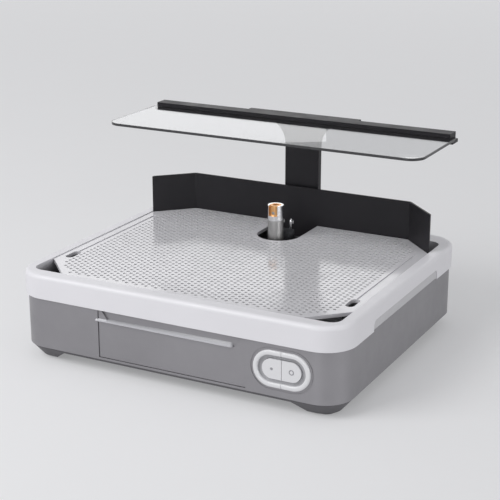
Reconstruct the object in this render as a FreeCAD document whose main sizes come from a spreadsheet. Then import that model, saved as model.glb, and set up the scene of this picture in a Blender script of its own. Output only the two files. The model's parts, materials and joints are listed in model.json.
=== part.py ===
import FreeCAD, Part
import Sketcher
import math
import os
from types import SimpleNamespace

# A bench-top wet grinder for shaping glass. A moulded housing on a footed pan holds a vertical
# motor. A white water tray hangs in the housing, with a perforated work surface over its well,
# and the motor's shaft rises through a standpipe in the tray to turn the grinding bit. A black
# guard stands behind the work, and a clear eye shield with a light bar is carried on a post.
#
# Millimetres. +X is right as seen from the front, +Y is the back, +Z is up. The origin lies under
# the middle of the tray, on the surface that the feet stand on.

SIZES = {
    # tray, in plan
    "tray_width": 406.0,
    "tray_depth": 350.0,
    "tray_corner": 36.0,
    "rim_side": 14.0,
    "rim_front": 17.0,
    "rim_round": 5.0,
    "rear_deck": 28.9,
    "well_corner": 12.0,
    # tray, heights and walls
    "rim_height": 22.0,
    "skirt_drop": 6.0,
    "skirt_wall": 2.2,
    "skirt_gap": 0.3,
    "well_depth": 55.0,
    "tray_wall": 2.5,
    "tray_floor": 3.0,
    "hump_sink": 18.0,
    "hump_clear": 1.5,
    "hump_gap": 2.5,
    "pipe_height": 9.0,
    "pipe_bore": 12.5,
    "pipe_wall": 3.5,
    "ledge_sink": 14.0,
    "ledge_thick": 4.0,
    "ledge_reach": 4.0,
    "tongue_wide": 58.0,
    "tongue_gap": 0.4,
    "cap_thick": 3.0,
    "cap_inset": 2.0,
    "handle_length": 190.0,
    "handle_depth": 8.0,
    "handle_rise": 6.0,
    "grip_thick": 2.0,
    # footed pan
    "pad_thick": 2.0,
    "pad_radius": 11.0,
    "pad_inset": 14.0,
    "pan_height": 15.0,
    "pan_plate": 4.0,
    "pan_inset": 2.0,
    "pan_flare": 13.0,
    "leg_along_x": 56.0,
    "leg_along_y": 55.0,
    "leg_slope": 15.0,
    # housing
    "housing_height": 65.0,
    "housing_wall": 3.0,
    "deck_gap": 1.0,
    "deck_thick": 2.5,
    "turret_wall": 2.5,
    "spigot_radius": 11.0,
    "spigot_bore": 6.0,
    "spigot_sink": 2.0,
    "boss_radius": 5.0,
    "boss_side_inset": 18.5,
    "boss_beside": 7.0,
    "boss_front_inset": 34.5,
    "boss_back_side": 110.5,
    "boss_back_inset": 22.5,
    "vent_count": 9,
    "vent_pitch": 8.0,
    "vent_wide": 3.0,
    "vent_tall": 24.0,
    "vent_side": 102.5,
    # fasteners and fits
    "screw_radius": 1.9,
    "head_radius": 3.8,
    "head_thick": 2.4,
    "screw_grip": 12.0,
    "screw_fit": 0.05,
    "running_fit": 0.04,
    "seat_gap": 0.3,
    # motor and spindle
    "motor_to_back": 66.1,
    "motor_plate": 3.0,
    "motor_plate_half": 46.0,
    "motor_screw_half": 38.0,
    "can_radius": 40.0,
    "can_wall": 2.0,
    "can_gap": 4.5,
    "motor_headroom": 2.5,
    "end_plate": 4.0,
    "bearing_radius": 11.0,
    "bearing_width": 7.0,
    "bearing_boss": 3.0,
    "rotor_radius": 21.0,
    "air_gap": 0.5,
    "winding_wide": 12.0,
    "winding_tall": 6.0,
    "winding_gap": 1.0,
    "winding_lift": 5.0,
    "shaft_radius": 4.0,
    "shaft_clear": 1.0,
    "shaft_foot": 2.0,
    "seal_height": 4.0,
    "slinger_radius": 9.0,
    "slinger_thick": 1.4,
    "bit_clear": 1.0,
    "bit_radius": 9.5,
    "core_radius": 7.0,
    "grit_height": 28.6,
    "head_height": 18.4,
    "bit_dimple": 2.0,
    "bit_window_wide": 11.4,
    "bit_window_edge": 5.8,
    "set_screw_radius": 2.0,
    # work surface and baffle
    "plate_sink": 1.0,
    "plate_thick": 4.0,
    "plate_gap": 0.8,
    "plate_clip": 41.0,
    "notch_radius": 27.0,
    "notch_behind": 10.0,
    "finger_inset": 11.0,
    "finger_wide": 9.0,
    "finger_long": 22.0,
    "finger_front": 58.0,
    "groove_wide": 3.0,
    "groove_deep": 1.0,
    "groove_end": 54.0,
    "rib_thick": 2.5,
    "rib_beside": 58.0,
    "rib_front": 60.0,
    "rib_before": 26.0,
    "rib_margin": 22.0,
    # guard
    "guard_gap": 0.8,
    "guard_wall": 2.5,
    "guard_height": 60.0,
    "guard_fold": 3.0,
    # sponge and its clip
    "sponge_wide": 26.0,
    "sponge_thick": 10.0,
    "sponge_tall": 18.0,
    "sponge_gap": 1.0,
    "sponge_lip_gap": 0.8,
    "sponge_lip_rise": 1.2,
    "clip_wire": 1.2,
    "clip_span": 12.0,
    "clip_gap": 0.5,
    "clip_tall": 25.0,
    "clip_hook": 3.0,
    "clip_margin": 0.4,
    "clip_foot": 1.6,
    # drawer
    "drawer_side": 109.5,
    "drawer_panel": 7.0,
    "panel_recess": 1.0,
    "drawer_sill": 3.0,
    "drawer_gap": 0.5,
    "drawer_top_gap": 0.4,
    "box_inset": 6.0,
    "box_depth": 108.0,
    "box_wall": 2.0,
    "box_under_deck": 1.0,
    "scoop_tall": 13.0,
    "pull_tall": 4.2,
    "pull_end": 3.0,
    "pull_slant": 10.0,
    "pull_proud": 2.1,
    "scoop_depth": 2.0,
    "runner_wide": 14.0,
    "runner_lip": 2.0,
    "runner_tall": 6.0,
    # power switch
    "switch_beside": 10.0,
    "switch_lift": 1.5,
    "bezel_wide": 66.0,
    "bezel_tall": 41.0,
    "bezel_band": 5.5,
    "bezel_proud": 2.5,
    "bezel_notch": 2.0,
    "moat_gap": 2.2,
    "moat_wide": 0.9,
    "moat_deep": 0.6,
    "trough_depth": 1.5,
    "trough_wall": 1.5,
    "key_wide": 45.0,
    "key_tall": 22.0,
    "key_proud": 1.0,
    "key_split": 0.6,
    "key_gap": 0.3,
    "key_long": 5.0,
    "key_room": 2.5,
    "switch_floor": 2.0,
    "switch_bay": 0.5,
    # power inlet
    "inlet_side": 76.5,
    "inlet_wide": 27.0,
    "inlet_tall": 19.5,
    "inlet_wall": 2.0,
    "inlet_deep": 20.0,
    "inlet_back": 4.0,
    "inlet_flange": 2.5,
    "flange_thick": 2.2,
    "blade_wide": 4.0,
    "blade_thick": 2.0,
    "blade_pitch": 7.0,
    "blade_drop": 3.4,
    "blade_sink": 4.0,
    # control board
    "board_side_gap": 18.0,
    "board_front_gap": 54.0,
    "board_wide": 64.0,
    "board_long": 80.0,
    "board_thick": 1.6,
    "standoff_tall": 5.0,
    "standoff_radius": 3.0,
    "standoff_inset": 6.0,
    "capacitor_radius": 8.0,
    "capacitor_tall": 15.0,
    "module_wide": 40.0,
    "module_long": 28.0,
    "module_tall": 14.0,
    # eye shield, light bar and post
    "sheet_height": 128.0,
    "sheet_width": 406.0,
    "sheet_reach": 112.0,
    "sheet_thick": 3.0,
    "sheet_corner": 18.0,
    "edge_band": 0.8,
    "bond_gap": 0.05,
    "bar_inset": 5.0,
    "bar_depth": 18.0,
    "bar_height": 12.0,
    "bar_below": 4.0,
    "bar_slot": 8.0,
    "slot_fit": 0.1,
    "bar_cap": 3.0,
    "light_wide": 9.0,
    "light_deep": 3.0,
    "light_back": 2.5,
    "light_end": 10.0,
    "diffuser_thick": 0.8,
    "led_board": 0.8,
    "led_size": 2.8,
    "led_thick": 0.8,
    "led_count": 24,
    "post_width": 46.0,
    "post_thick": 7.5,
    "post_fit": 0.2,
    "post_reach": 42.0,
    "flare_half": 75.0,
    "flare_tall": 11.0,
    "flare_round": 30.0,
    "socket_wall": 3.0,
    "socket_cheek": 8.0,
    "socket_notch": 2.8,
    "shield_screw_x": 34.0,
    "shield_screw_long": 8.0,
}

doc = FreeCAD.newDocument("glass_grinder")
sheet = doc.addObject("Spreadsheet::Sheet", "size")
for row, (name, value) in enumerate(SIZES.items(), start=1):
    sheet.set(f"A{row}", name)
    sheet.set(f"B{row}", str(value))
    sheet.setAlias(f"B{row}", name)
doc.recompute()


class Measure:
    """A length worked out from the sheet: its expression as text, and its value in millimetres."""

    def __init__(self, text, value):
        self.text = text
        self.value = value

    def __add__(self, other):
        other = measure(other)
        return Measure(f"({self.text} + {other.text})", self.value + other.value)

    def __sub__(self, other):
        other = measure(other)
        return Measure(f"({self.text} - {other.text})", self.value - other.value)

    def __mul__(self, factor):
        factor = measure(factor)
        return Measure(f"({self.text} * {factor.text})", self.value * factor.value)

    def __truediv__(self, divisor):
        divisor = measure(divisor)
        return Measure(f"({self.text} / {divisor.text})", self.value / divisor.value)

    def __neg__(self):
        return Measure(f"(-1 * {self.text})", -self.value)

    def __rsub__(self, other):
        return measure(other) - self

    __radd__ = __add__
    __rmul__ = __mul__


def measure(amount):
    """A bare number as a Measure; a Measure stays as it is."""
    if isinstance(amount, Measure):
        return amount
    return Measure(f"({amount})", amount)


dim = SimpleNamespace(**{name: Measure(f"size.{name}", value) for name, value in SIZES.items()})

OVERCUT = 1.0
NEAR = 1e-4
SIDES = (-1, 1)

# Levels, from the feet upwards.
Z_PAN = dim.pad_thick
Z_HOUSING = Z_PAN + dim.pan_height
Z_PAN_UNDER = Z_HOUSING - dim.pan_plate
Z_SEAT = Z_HOUSING + dim.housing_height
Z_RIM = Z_SEAT + dim.rim_height
Z_SKIRT = Z_SEAT - dim.skirt_drop
Z_FLOOR = Z_RIM - dim.well_depth
Z_TRAY = Z_FLOOR - dim.tray_floor
Z_DECK = Z_TRAY - dim.deck_gap
Z_DECK_UNDER = Z_DECK - dim.deck_thick
Z_HUMP = Z_RIM - dim.hump_sink
Z_TURRET = Z_HUMP - dim.tray_wall - dim.hump_clear
Z_CAP = Z_HUMP + dim.cap_thick
Z_PIPE = Z_HUMP + dim.pipe_height
Z_SPIGOT = Z_PIPE - dim.spigot_sink
Z_BIT = Z_PIPE + dim.bit_clear
Z_HEAD = Z_BIT + dim.grit_height
Z_BIT_TOP = Z_HEAD + dim.head_height
Z_PLATE = Z_RIM - dim.plate_sink
Z_PLATE_UNDER = Z_PLATE - dim.plate_thick
Z_LEDGE = Z_RIM - dim.ledge_sink
Z_SHEET = Z_RIM + dim.sheet_height
Z_BAR = Z_SHEET - dim.bar_below
Z_BAR_TOP = Z_BAR + dim.bar_height
Z_MOTOR = Z_HOUSING + dim.motor_plate
Z_CAN = Z_MOTOR + dim.end_plate
Z_UPPER = Z_TURRET - dim.turret_wall - dim.motor_headroom - dim.bearing_width
Z_CAN_TOP = Z_UPPER - dim.end_plate
Z_STACK = Z_CAN + dim.winding_lift + dim.winding_tall
Z_STACK_TOP = Z_CAN_TOP - dim.winding_gap - dim.winding_tall
Z_DRAWER = Z_HOUSING + dim.drawer_sill
Z_SWITCH = (Z_HOUSING + Z_SKIRT) / 2 + dim.switch_lift
Z_INLET = (Z_HOUSING + Z_DECK_UNDER) / 2
Z_BOARD = Z_HOUSING + dim.standoff_tall

# Half sizes and edges in plan.
TRAY_X = dim.tray_width / 2
TRAY_Y = dim.tray_depth / 2
SKIN = dim.skirt_wall + dim.skirt_gap
HOUSE_X = TRAY_X - SKIN
HOUSE_Y = TRAY_Y - SKIN
HOUSE_CORNER = dim.tray_corner - SKIN
HOUSE_FRONT = -HOUSE_Y
PAN_X = HOUSE_X - dim.pan_inset
PAN_Y = HOUSE_Y - dim.pan_inset
WELL_X = TRAY_X - dim.rim_side
WELL_FRONT = dim.rim_front - TRAY_Y
WELL_BACK = TRAY_Y - dim.rear_deck
TURRET_RADIUS = dim.can_radius + dim.can_gap + dim.turret_wall
HUMP_BORE = TURRET_RADIUS + dim.hump_gap
HUMP_RADIUS = HUMP_BORE + dim.tray_wall
PLATE_X = WELL_X - dim.plate_gap
PLATE_FRONT = WELL_FRONT + dim.plate_gap
GUARD_BACK = WELL_BACK - dim.seat_gap
GUARD_FRONT = GUARD_BACK - dim.guard_wall
PLATE_BACK = GUARD_FRONT - dim.guard_gap
MOTOR_Y = WELL_BACK - dim.motor_to_back
SPINDLE = (measure(0), MOTOR_Y)
SOCKET_FRONT = WELL_BACK + dim.tray_wall + dim.seat_gap
POST_FRONT = SOCKET_FRONT + dim.socket_wall + dim.post_fit
POST_BACK = POST_FRONT + dim.post_thick
SOCKET_X = dim.post_width / 2 + dim.post_fit + dim.socket_cheek
BAR_FRONT = POST_FRONT - dim.bar_depth
BAR_X = dim.sheet_width / 2 - dim.bar_inset
SHEET_FRONT = BAR_FRONT - dim.sheet_reach
DRAWER_X = HOUSE_X - dim.drawer_side
BOX_X = DRAWER_X - dim.box_inset
PANEL_FRONT = HOUSE_FRONT + dim.panel_recess
PANEL_BACK = HOUSE_FRONT + dim.drawer_panel
PANEL_TOP = Z_SKIRT - dim.drawer_top_gap
PULL_Z = PANEL_TOP - dim.scoop_tall
SWITCH_X = DRAWER_X + dim.switch_beside + dim.bezel_wide / 2
INLET_X = dim.inlet_side - HOUSE_X


# Helpers: each makes one document object whose sizes are bound to the sheet.

def place(thing, x, y, z):
    """Bind an object's position."""
    for axis, amount in zip("xyz", (x, y, z)):
        thing.setExpression(f"Placement.Base.{axis}", measure(amount).text)


def box(name, x, y, z):
    """A block between the two ends given for each axis."""
    block = doc.addObject("Part::Box", name)
    for side, (low, high) in zip(("Length", "Width", "Height"), (x, y, z)):
        block.setExpression(side, (measure(high) - low).text)
    place(block, x[0], y[0], z[0])
    return block


def rod(name, centre, span, radius, along="Z"):
    """A round bar along X, Y or Z; centre gives the other two coordinates in order."""
    bar = doc.addObject("Part::Cylinder", name)
    bar.setExpression("Radius", measure(radius).text)
    bar.setExpression("Height", (measure(span[1]) - span[0]).text)
    low = span[0]
    if along == "Z":
        place(bar, centre[0], centre[1], low)
        return bar
    turn = (FreeCAD.Vector(0, 1, 0), 90) if along == "X" else (FreeCAD.Vector(1, 0, 0), -90)
    bar.Placement = FreeCAD.Placement(FreeCAD.Vector(), FreeCAD.Rotation(*turn))
    if along == "X":
        place(bar, low, centre[0], centre[1])
    else:
        place(bar, centre[0], low, centre[1])
    return bar


def fuse(name, *shapes):
    """Several overlapping shapes as one."""
    joined = doc.addObject("Part::MultiFuse", name)
    joined.Shapes = list(shapes)
    joined.Refine = True
    return joined


def group(name, shapes):
    """Separate solids kept in one node."""
    several = doc.addObject("Part::Compound", name)
    several.Links = list(shapes)
    return several


def cut(name, base, *tools):
    """A shape with the given tools taken out of it."""
    tool = tools[0]
    if len(tools) > 1:
        tool = doc.addObject("Part::MultiFuse", name + "_joined_tools")
        tool.Shapes = list(tools)
    carved = doc.addObject("Part::Cut", name)
    carved.Base = base
    carved.Tool = tool
    carved.Refine = True
    return carved


def tube(name, centre, span, outer, inner, along="Z"):
    """A ring or sleeve between two radii."""
    reach = (measure(span[0]) - OVERCUT, measure(span[1]) + OVERCUT)
    bore = rod(name + "_bore", centre, reach, inner, along)
    return cut(name, rod(name + "_outside", centre, span, outer, along), bore)


def prism(name, plane, outline, span):
    """A straight-sided body: a closed outline on XY, XZ or YZ, padded across the given span."""
    body = doc.addObject("PartDesign::Body", name)
    sketch = body.newObject("Sketcher::SketchObject", name + "_outline")
    origin = next(part for part in body.Origin.OriginFeatures if part.Role == plane + "_Plane")
    sketch.AttachmentSupport = [(origin, "")]
    sketch.MapMode = "FlatFace"
    points = [(measure(u), measure(v)) for u, v in outline]
    corners = [FreeCAD.Vector(u.value, v.value, 0) for u, v in points]
    count = len(points)
    for index in range(count):
        sketch.addGeometry(Part.LineSegment(corners[index], corners[(index + 1) % count]), False)
    for index in range(count):
        sketch.addConstraint(Sketcher.Constraint("Coincident", index, 2, (index + 1) % count, 1))
    for index, point in enumerate(points):
        for kind, amount in zip(("DistanceX", "DistanceY"), point):
            held = sketch.addConstraint(Sketcher.Constraint(kind, -1, 1, index, 1, amount.value))
            sketch.setExpression(f"Constraints[{held}]", amount.text)
    pad = body.newObject("PartDesign::Pad", name + "_pad")
    pad.Profile = sketch
    low, high = measure(span[0]), measure(span[1])
    pad.setExpression("Length", (high - low).text)
    # A pad on the XZ plane grows towards -Y, so that body starts at its far end.
    start = {"XY": (0, 0, low), "XZ": (0, high, 0), "YZ": (low, 0, 0)}[plane]
    place(body, *start)
    return body


def edges_where(body, chosen):
    """Names of the edges of a body's last feature for which the test holds."""
    doc.recompute()
    edges = enumerate(body.Tip.Shape.Edges, start=1)
    return [f"Edge{number}" for number, edge in edges if chosen(edge)]


def round_edges(body, radius, chosen):
    """Round the chosen edges of a body."""
    names = edges_where(body, chosen)
    last = body.Tip
    fillet = body.newObject("PartDesign::Fillet", body.Name + "_round")
    fillet.Base = (last, names)
    fillet.setExpression("Radius", measure(radius).text)
    body.Tip = fillet
    return body


def upright(edge):
    """True of a straight edge along Z."""
    box_of = edge.BoundBox
    return box_of.ZLength > NEAR and box_of.XLength < NEAR and box_of.YLength < NEAR


def upright_at(x, y):
    """A test for upright edges at a place, on the left or the right side."""

    def chosen(edge):
        middle = edge.CenterOfMass
        across = abs(abs(middle.x) - x.value) < NEAR and abs(middle.y - y.value) < NEAR
        return upright(edge) and across

    return chosen


def at_height(z):
    """A test for edges that lie level at the given height in their body."""
    return lambda edge: abs(edge.BoundBox.ZMin - z) < NEAR and abs(edge.BoundBox.ZMax - z) < NEAR


def centred(middle, wide):
    """The two ends of a span about its middle."""
    return (middle - measure(wide) / 2, middle + measure(wide) / 2)


def ordered(side, near, far):
    """A span along X from near to far on the left or the right side."""
    return (near, far) if side > 0 else (-far, -near)


def rectangle(half_x, y):
    """Corners of a rectangle centred on X."""
    return [(-half_x, y[0]), (half_x, y[0]), (half_x, y[1]), (-half_x, y[1])]


def rounded_block(name, half_x, y, z, corner):
    """A block centred on X with rounded upright corners."""
    block = prism(name, "XY", rectangle(half_x, y), z)
    return round_edges(block, corner, upright)


def stadium(name, centre, wide, tall, y):
    """A bar with round ends, lying along X and seen from the front."""
    x, z = centre
    radius = measure(tall) / 2
    half = measure(wide) / 2 - radius
    middle = box(name + "_middle", (x - half, x + half), y, (z - radius, z + radius))
    ends = [rod(f"{name}_end{side}", (x + side * half, z), y, radius, "Y") for side in SIDES]
    return fuse(name, middle, *ends)


# Where the screws of the pan and the motor stand.
PAN_SCREWS = [(side * (HOUSE_X - dim.boss_side_inset), measure(0)) for side in SIDES]
PAN_SCREWS += [
    (side * (DRAWER_X + dim.boss_beside), HOUSE_FRONT + dim.boss_front_inset) for side in SIDES
]
PAN_SCREWS += [
    (side * (HOUSE_X - dim.boss_back_side), HOUSE_Y - dim.boss_back_inset) for side in SIDES
]
MOTOR_SCREWS = [
    (a * dim.motor_screw_half, MOTOR_Y + b * dim.motor_screw_half) for a in SIDES for b in SIDES
]


# Pan, feet and housing.

def base_pan():
    """Dark floor of the machine: a plate with four splayed legs, each sloping into the plate."""
    corner = HOUSE_CORNER - dim.pan_inset
    block = rounded_block("pan_block", PAN_X, (-PAN_Y, PAN_Y), (Z_PAN, Z_HOUSING), corner)
    names = edges_where(block, at_height(0))
    last = block.Tip
    flank = block.newObject("PartDesign::Chamfer", "pan_flank")
    flank.Base = (last, names)
    flank.ChamferType = "Two distances"
    flank.setExpression("Size", dim.pan_flare.text)
    flank.setExpression("Size2", (dim.pan_height - dim.pan_plate).text)
    block.Tip = flank
    arches = []
    for plane, reach, leg in (("XZ", PAN_X, dim.leg_along_x), ("YZ", PAN_Y, dim.leg_along_y)):
        top = reach - leg
        foot = top + dim.leg_slope
        low = Z_PAN - OVERCUT
        outline = [
            (-foot, low), (foot, low), (foot, Z_PAN),
            (top, Z_PAN_UNDER), (-top, Z_PAN_UNDER), (-foot, Z_PAN),
        ]
        far = PAN_Y if plane == "XZ" else PAN_X
        arches.append(prism("pan_arch_" + plane, plane, outline, (-far - OVERCUT, far + OVERCUT)))
    span = (Z_PAN_UNDER - OVERCUT, Z_HOUSING + OVERCUT)
    reach = dim.screw_radius + dim.screw_fit
    holes = [rod(f"pan_hole{i}", at, span, reach) for i, at in enumerate(PAN_SCREWS + MOTOR_SCREWS)]
    return cut("pan", block, *arches, *holes)


def rubber_feet():
    """Four round pads under the legs."""
    x = PAN_X - dim.pan_flare - dim.pad_inset
    y = PAN_Y - dim.pan_flare - dim.pad_inset
    return group("feet", [
        rod(f"foot{a}{b}", (a * x, b * y), (measure(0), Z_PAN), dim.pad_radius)
        for a in SIDES for b in SIDES
    ])


def screws(name, places, seat, head_up):
    """Round-headed screws along Z; the head lies above or below the seat that it clamps."""
    pieces = []
    for index, at in enumerate(places):
        head = (seat, seat + dim.head_thick) if head_up else (seat - dim.head_thick, seat)
        shank = (seat - dim.screw_grip / 2, seat) if head_up else (seat, seat + dim.screw_grip)
        pieces.append(fuse(
            f"{name}{index}",
            rod(f"{name}{index}_head", at, head, dim.head_radius),
            rod(f"{name}{index}_shank", at, shank, dim.screw_radius),
        ))
    return group(name, pieces)


def base_screws():
    """Six screws up through the pan into the housing's bosses."""
    return screws("pan_screw", PAN_SCREWS, Z_PAN_UNDER, False)


def housing_shell():
    """Grey casing: a rounded wall with a deck inside it, a turret over the motor, and bosses."""
    wall = dim.housing_wall
    outer = rounded_block(
        "housing_outer", HOUSE_X, (-HOUSE_Y, HOUSE_Y), (Z_HOUSING, Z_SEAT), HOUSE_CORNER,
    )
    inner = rounded_block(
        "housing_inner", HOUSE_X - wall, (wall - HOUSE_Y, HOUSE_Y - wall),
        (Z_HOUSING - OVERCUT, Z_SEAT + OVERCUT), HOUSE_CORNER - wall,
    )
    half = wall / 2
    deck = rounded_block(
        "housing_deck", HOUSE_X - half, (half - HOUSE_Y, HOUSE_Y - half),
        (Z_DECK_UNDER, Z_DECK), HOUSE_CORNER - half,
    )
    turret = rod("housing_turret", SPINDLE, (Z_DECK_UNDER, Z_TURRET), TURRET_RADIUS)
    spigot = rod("housing_spigot", SPINDLE, (Z_TURRET - half, Z_SPIGOT), dim.spigot_radius)
    bosses = [
        rod(f"housing_boss{i}", at, (Z_HOUSING, Z_DECK), dim.boss_radius)
        for i, at in enumerate(PAN_SCREWS)
    ]
    body = fuse("housing_body", cut("housing_wall", outer, inner), deck, turret, spigot, *bosses)

    turret_bore = rod(
        "housing_turret_bore", SPINDLE, (Z_DECK_UNDER - OVERCUT, Z_TURRET - dim.turret_wall),
        TURRET_RADIUS - dim.turret_wall,
    )
    spigot_bore = rod(
        "housing_spigot_bore", SPINDLE,
        (Z_TURRET - dim.turret_wall - OVERCUT, Z_SPIGOT + OVERCUT), dim.spigot_bore,
    )
    pilots = [
        rod(
            f"housing_pilot{i}", at, (Z_HOUSING - OVERCUT, Z_PAN_UNDER + dim.screw_grip + OVERCUT),
            dim.screw_radius + dim.screw_fit,
        )
        for i, at in enumerate(PAN_SCREWS)
    ]
    window = box(
        "housing_drawer_window",
        (-DRAWER_X - dim.drawer_gap, DRAWER_X + dim.drawer_gap),
        (HOUSE_FRONT - OVERCUT, PANEL_BACK + dim.drawer_gap),
        (Z_DRAWER - dim.drawer_gap, Z_SKIRT),
    )
    through_front = (HOUSE_FRONT - OVERCUT, HOUSE_FRONT + wall + OVERCUT)
    through_back = (HOUSE_Y - wall - OVERCUT, HOUSE_Y + OVERCUT)
    switch_hole = stadium(
        "housing_switch_hole", (SWITCH_X, Z_SWITCH),
        TROUGH_WIDE + dim.key_gap * 2, TROUGH_TALL + dim.key_gap * 2, through_front,
    )
    moat_in = dim.moat_gap * 2
    moat_out = moat_in + dim.moat_wide * 2
    moat = cut(
        "housing_moat",
        stadium(
            "housing_moat_out", (SWITCH_X, Z_SWITCH), dim.bezel_wide + moat_out, dim.bezel_tall + moat_out,
            (HOUSE_FRONT - OVERCUT, HOUSE_FRONT + dim.moat_deep),
        ),
        stadium(
            "housing_moat_in", (SWITCH_X, Z_SWITCH), dim.bezel_wide + moat_in, dim.bezel_tall + moat_in,
            (HOUSE_FRONT - OVERCUT * 2, HOUSE_FRONT + dim.moat_deep + OVERCUT),
        ),
    )
    switch_bay = box(
        "housing_switch_bay", centred(SWITCH_X, SWITCH_WIDE + dim.switch_bay * 2),
        (HOUSE_FRONT + wall, SWITCH_BACK + dim.switch_bay), (Z_DECK_UNDER - OVERCUT, Z_DECK + OVERCUT),
    )
    inlet_hole = box(
        "housing_inlet_hole",
        centred(INLET_X, dim.inlet_wide + dim.key_gap * 2), through_back,
        centred(Z_INLET, dim.inlet_tall + dim.key_gap * 2),
    )
    first = HOUSE_X - dim.vent_side - dim.vent_pitch * (SIZES["vent_count"] - 1) / 2
    vents = [
        box(
            f"housing_vent{i}", centred(first + dim.vent_pitch * i, dim.vent_wide), through_back,
            centred(Z_INLET, dim.vent_tall),
        )
        for i in range(SIZES["vent_count"])
    ]
    return cut(
        "housing", body, turret_bore, spigot_bore, window,
        switch_hole, moat, switch_bay, inlet_hole, *pilots, *vents,
    )


# Motor.

def motor_base():
    """Square plate that ties the motor to the pan."""
    half = dim.motor_plate_half
    plate = rounded_block(
        "motor_square", half, (MOTOR_Y - half, MOTOR_Y + half),
        (Z_HOUSING, Z_MOTOR), dim.head_radius * 2,
    )
    span = (Z_HOUSING - OVERCUT, Z_MOTOR + OVERCUT)
    reach = dim.screw_radius + dim.screw_fit
    holes = [rod(f"motor_square_hole{i}", at, span, reach) for i, at in enumerate(MOTOR_SCREWS)]
    return cut("motor_plate", plate, *holes)


def motor_screws():
    """Four screws down through the motor's plate into the pan."""
    return screws("motor_screw", MOTOR_SCREWS, Z_MOTOR, True)


def bearing_plate(name, disc, boss):
    """An end plate of the motor: a disc, and a boss round the bearing's pocket."""
    outside = dim.bearing_radius + dim.bearing_boss
    plate = fuse(
        name + "_body",
        rod(name + "_disc", SPINDLE, disc, dim.can_radius),
        rod(name + "_boss", SPINDLE, boss, outside),
    )
    pocket = rod(
        name + "_pocket", SPINDLE, (boss[0], boss[1] + OVERCUT), dim.bearing_radius + dim.running_fit,
    )
    hole = rod(
        name + "_hole", SPINDLE, (disc[0] - OVERCUT, boss[1]), dim.shaft_radius + dim.shaft_clear,
    )
    return cut(name, plate, pocket, hole)


def motor_lower_plate():
    """Lower end plate, with the lower bearing's pocket inside the can."""
    return bearing_plate("lower_plate", (Z_MOTOR, Z_CAN), (Z_CAN, Z_CAN + dim.bearing_width))


def motor_upper_plate():
    """Upper end plate, with the upper bearing's pocket under the turret."""
    return bearing_plate("upper_plate", (Z_CAN_TOP, Z_UPPER), (Z_UPPER, Z_UPPER + dim.bearing_width))


def motor_can():
    """Steel can between the two end plates."""
    return tube("can", SPINDLE, (Z_CAN, Z_CAN_TOP), dim.can_radius, dim.can_radius - dim.can_wall)


def bearing(name, low):
    """A ball bearing as one ring, running on the shaft."""
    return tube(
        name, SPINDLE, (low, low + dim.bearing_width),
        dim.bearing_radius, dim.shaft_radius + dim.running_fit,
    )


def stator_core():
    """Stack of steel rings pressed in the can."""
    outside = dim.can_radius - dim.can_wall - dim.screw_fit
    return tube("stator", SPINDLE, (Z_STACK, Z_STACK_TOP), outside, dim.rotor_radius + dim.air_gap)


def stator_windings():
    """The copper end turns above and below the stack."""
    inside = dim.rotor_radius + dim.air_gap + dim.winding_gap
    outside = inside + dim.winding_wide
    below = tube("winding_below", SPINDLE, (Z_STACK - dim.winding_tall, Z_STACK), outside, inside)
    top = Z_STACK_TOP + dim.winding_tall
    above = tube("winding_above", SPINDLE, (Z_STACK_TOP, top), outside, inside)
    return group("windings", [below, above])


def shaft_seal():
    """Lip seal at the top of the spigot."""
    return tube(
        "seal", SPINDLE, (Z_SPIGOT - dim.seal_height, Z_SPIGOT),
        dim.spigot_bore - dim.screw_fit, dim.shaft_radius + dim.running_fit,
    )


# Spindle.

def motor_shaft():
    """Straight shaft from the lower bearing to the bit."""
    span = (Z_MOTOR + dim.shaft_foot, Z_BIT_TOP - dim.bit_dimple)
    return rod("shaft", SPINDLE, span, dim.shaft_radius)


def rotor_core():
    """Rotor inside the stator."""
    return tube(
        "rotor", SPINDLE, (Z_STACK, Z_STACK_TOP),
        dim.rotor_radius, dim.shaft_radius + dim.running_fit / 2,
    )


def slinger():
    """Thin disc that throws water off the shaft."""
    return tube(
        "slinger_disc", SPINDLE, (Z_BIT - dim.slinger_thick, Z_BIT),
        dim.slinger_radius, dim.shaft_radius + dim.running_fit / 2,
    )


def bit_core():
    """Copper-coloured core of the bit, bored for the shaft and tapped for the set screw."""
    bore = dim.shaft_radius + dim.running_fit / 2
    core = tube("core", SPINDLE, (Z_BIT, Z_BIT_TOP), dim.core_radius, bore)
    hole = rod("core_tapping", SET_SCREW, SET_SCREW_HOLE, dim.set_screw_radius + dim.screw_fit, "Y")
    return cut("core_tapped", core, hole)


def grit_sleeve():
    """Diamond-coated sleeve that does the grinding."""
    return tube(
        "grit", SPINDLE, (Z_BIT, Z_HEAD), dim.bit_radius, dim.core_radius + dim.running_fit / 2,
    )


def bit_head():
    """Plated collar round the top of the bit, cut open in front from its top down to a band."""
    bore = dim.core_radius + dim.running_fit / 2
    collar = tube("collar", SPINDLE, (Z_HEAD, Z_BIT_TOP), dim.bit_radius, bore)
    window = box(
        "collar_window", centred(measure(0), dim.bit_window_wide),
        (MOTOR_Y - dim.bit_radius - OVERCUT, MOTOR_Y - dim.core_radius / 2),
        (Z_HEAD + dim.bit_window_edge, Z_BIT_TOP + OVERCUT),
    )
    return cut("collar_cut", collar, window)


def set_screw():
    """Headless screw that locks the bit to the shaft."""
    span = (MOTOR_Y - dim.core_radius + dim.set_screw_radius / 2, SET_SCREW_HOLE[1])
    return rod("grub", SET_SCREW, span, dim.set_screw_radius, "Y")


SET_SCREW = (measure(0), (Z_HEAD + Z_BIT_TOP) / 2)
SET_SCREW_HOLE = (
    MOTOR_Y - dim.core_radius - OVERCUT, MOTOR_Y - dim.shaft_radius - dim.running_fit * 2,
)


# Tray and what it carries.

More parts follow.
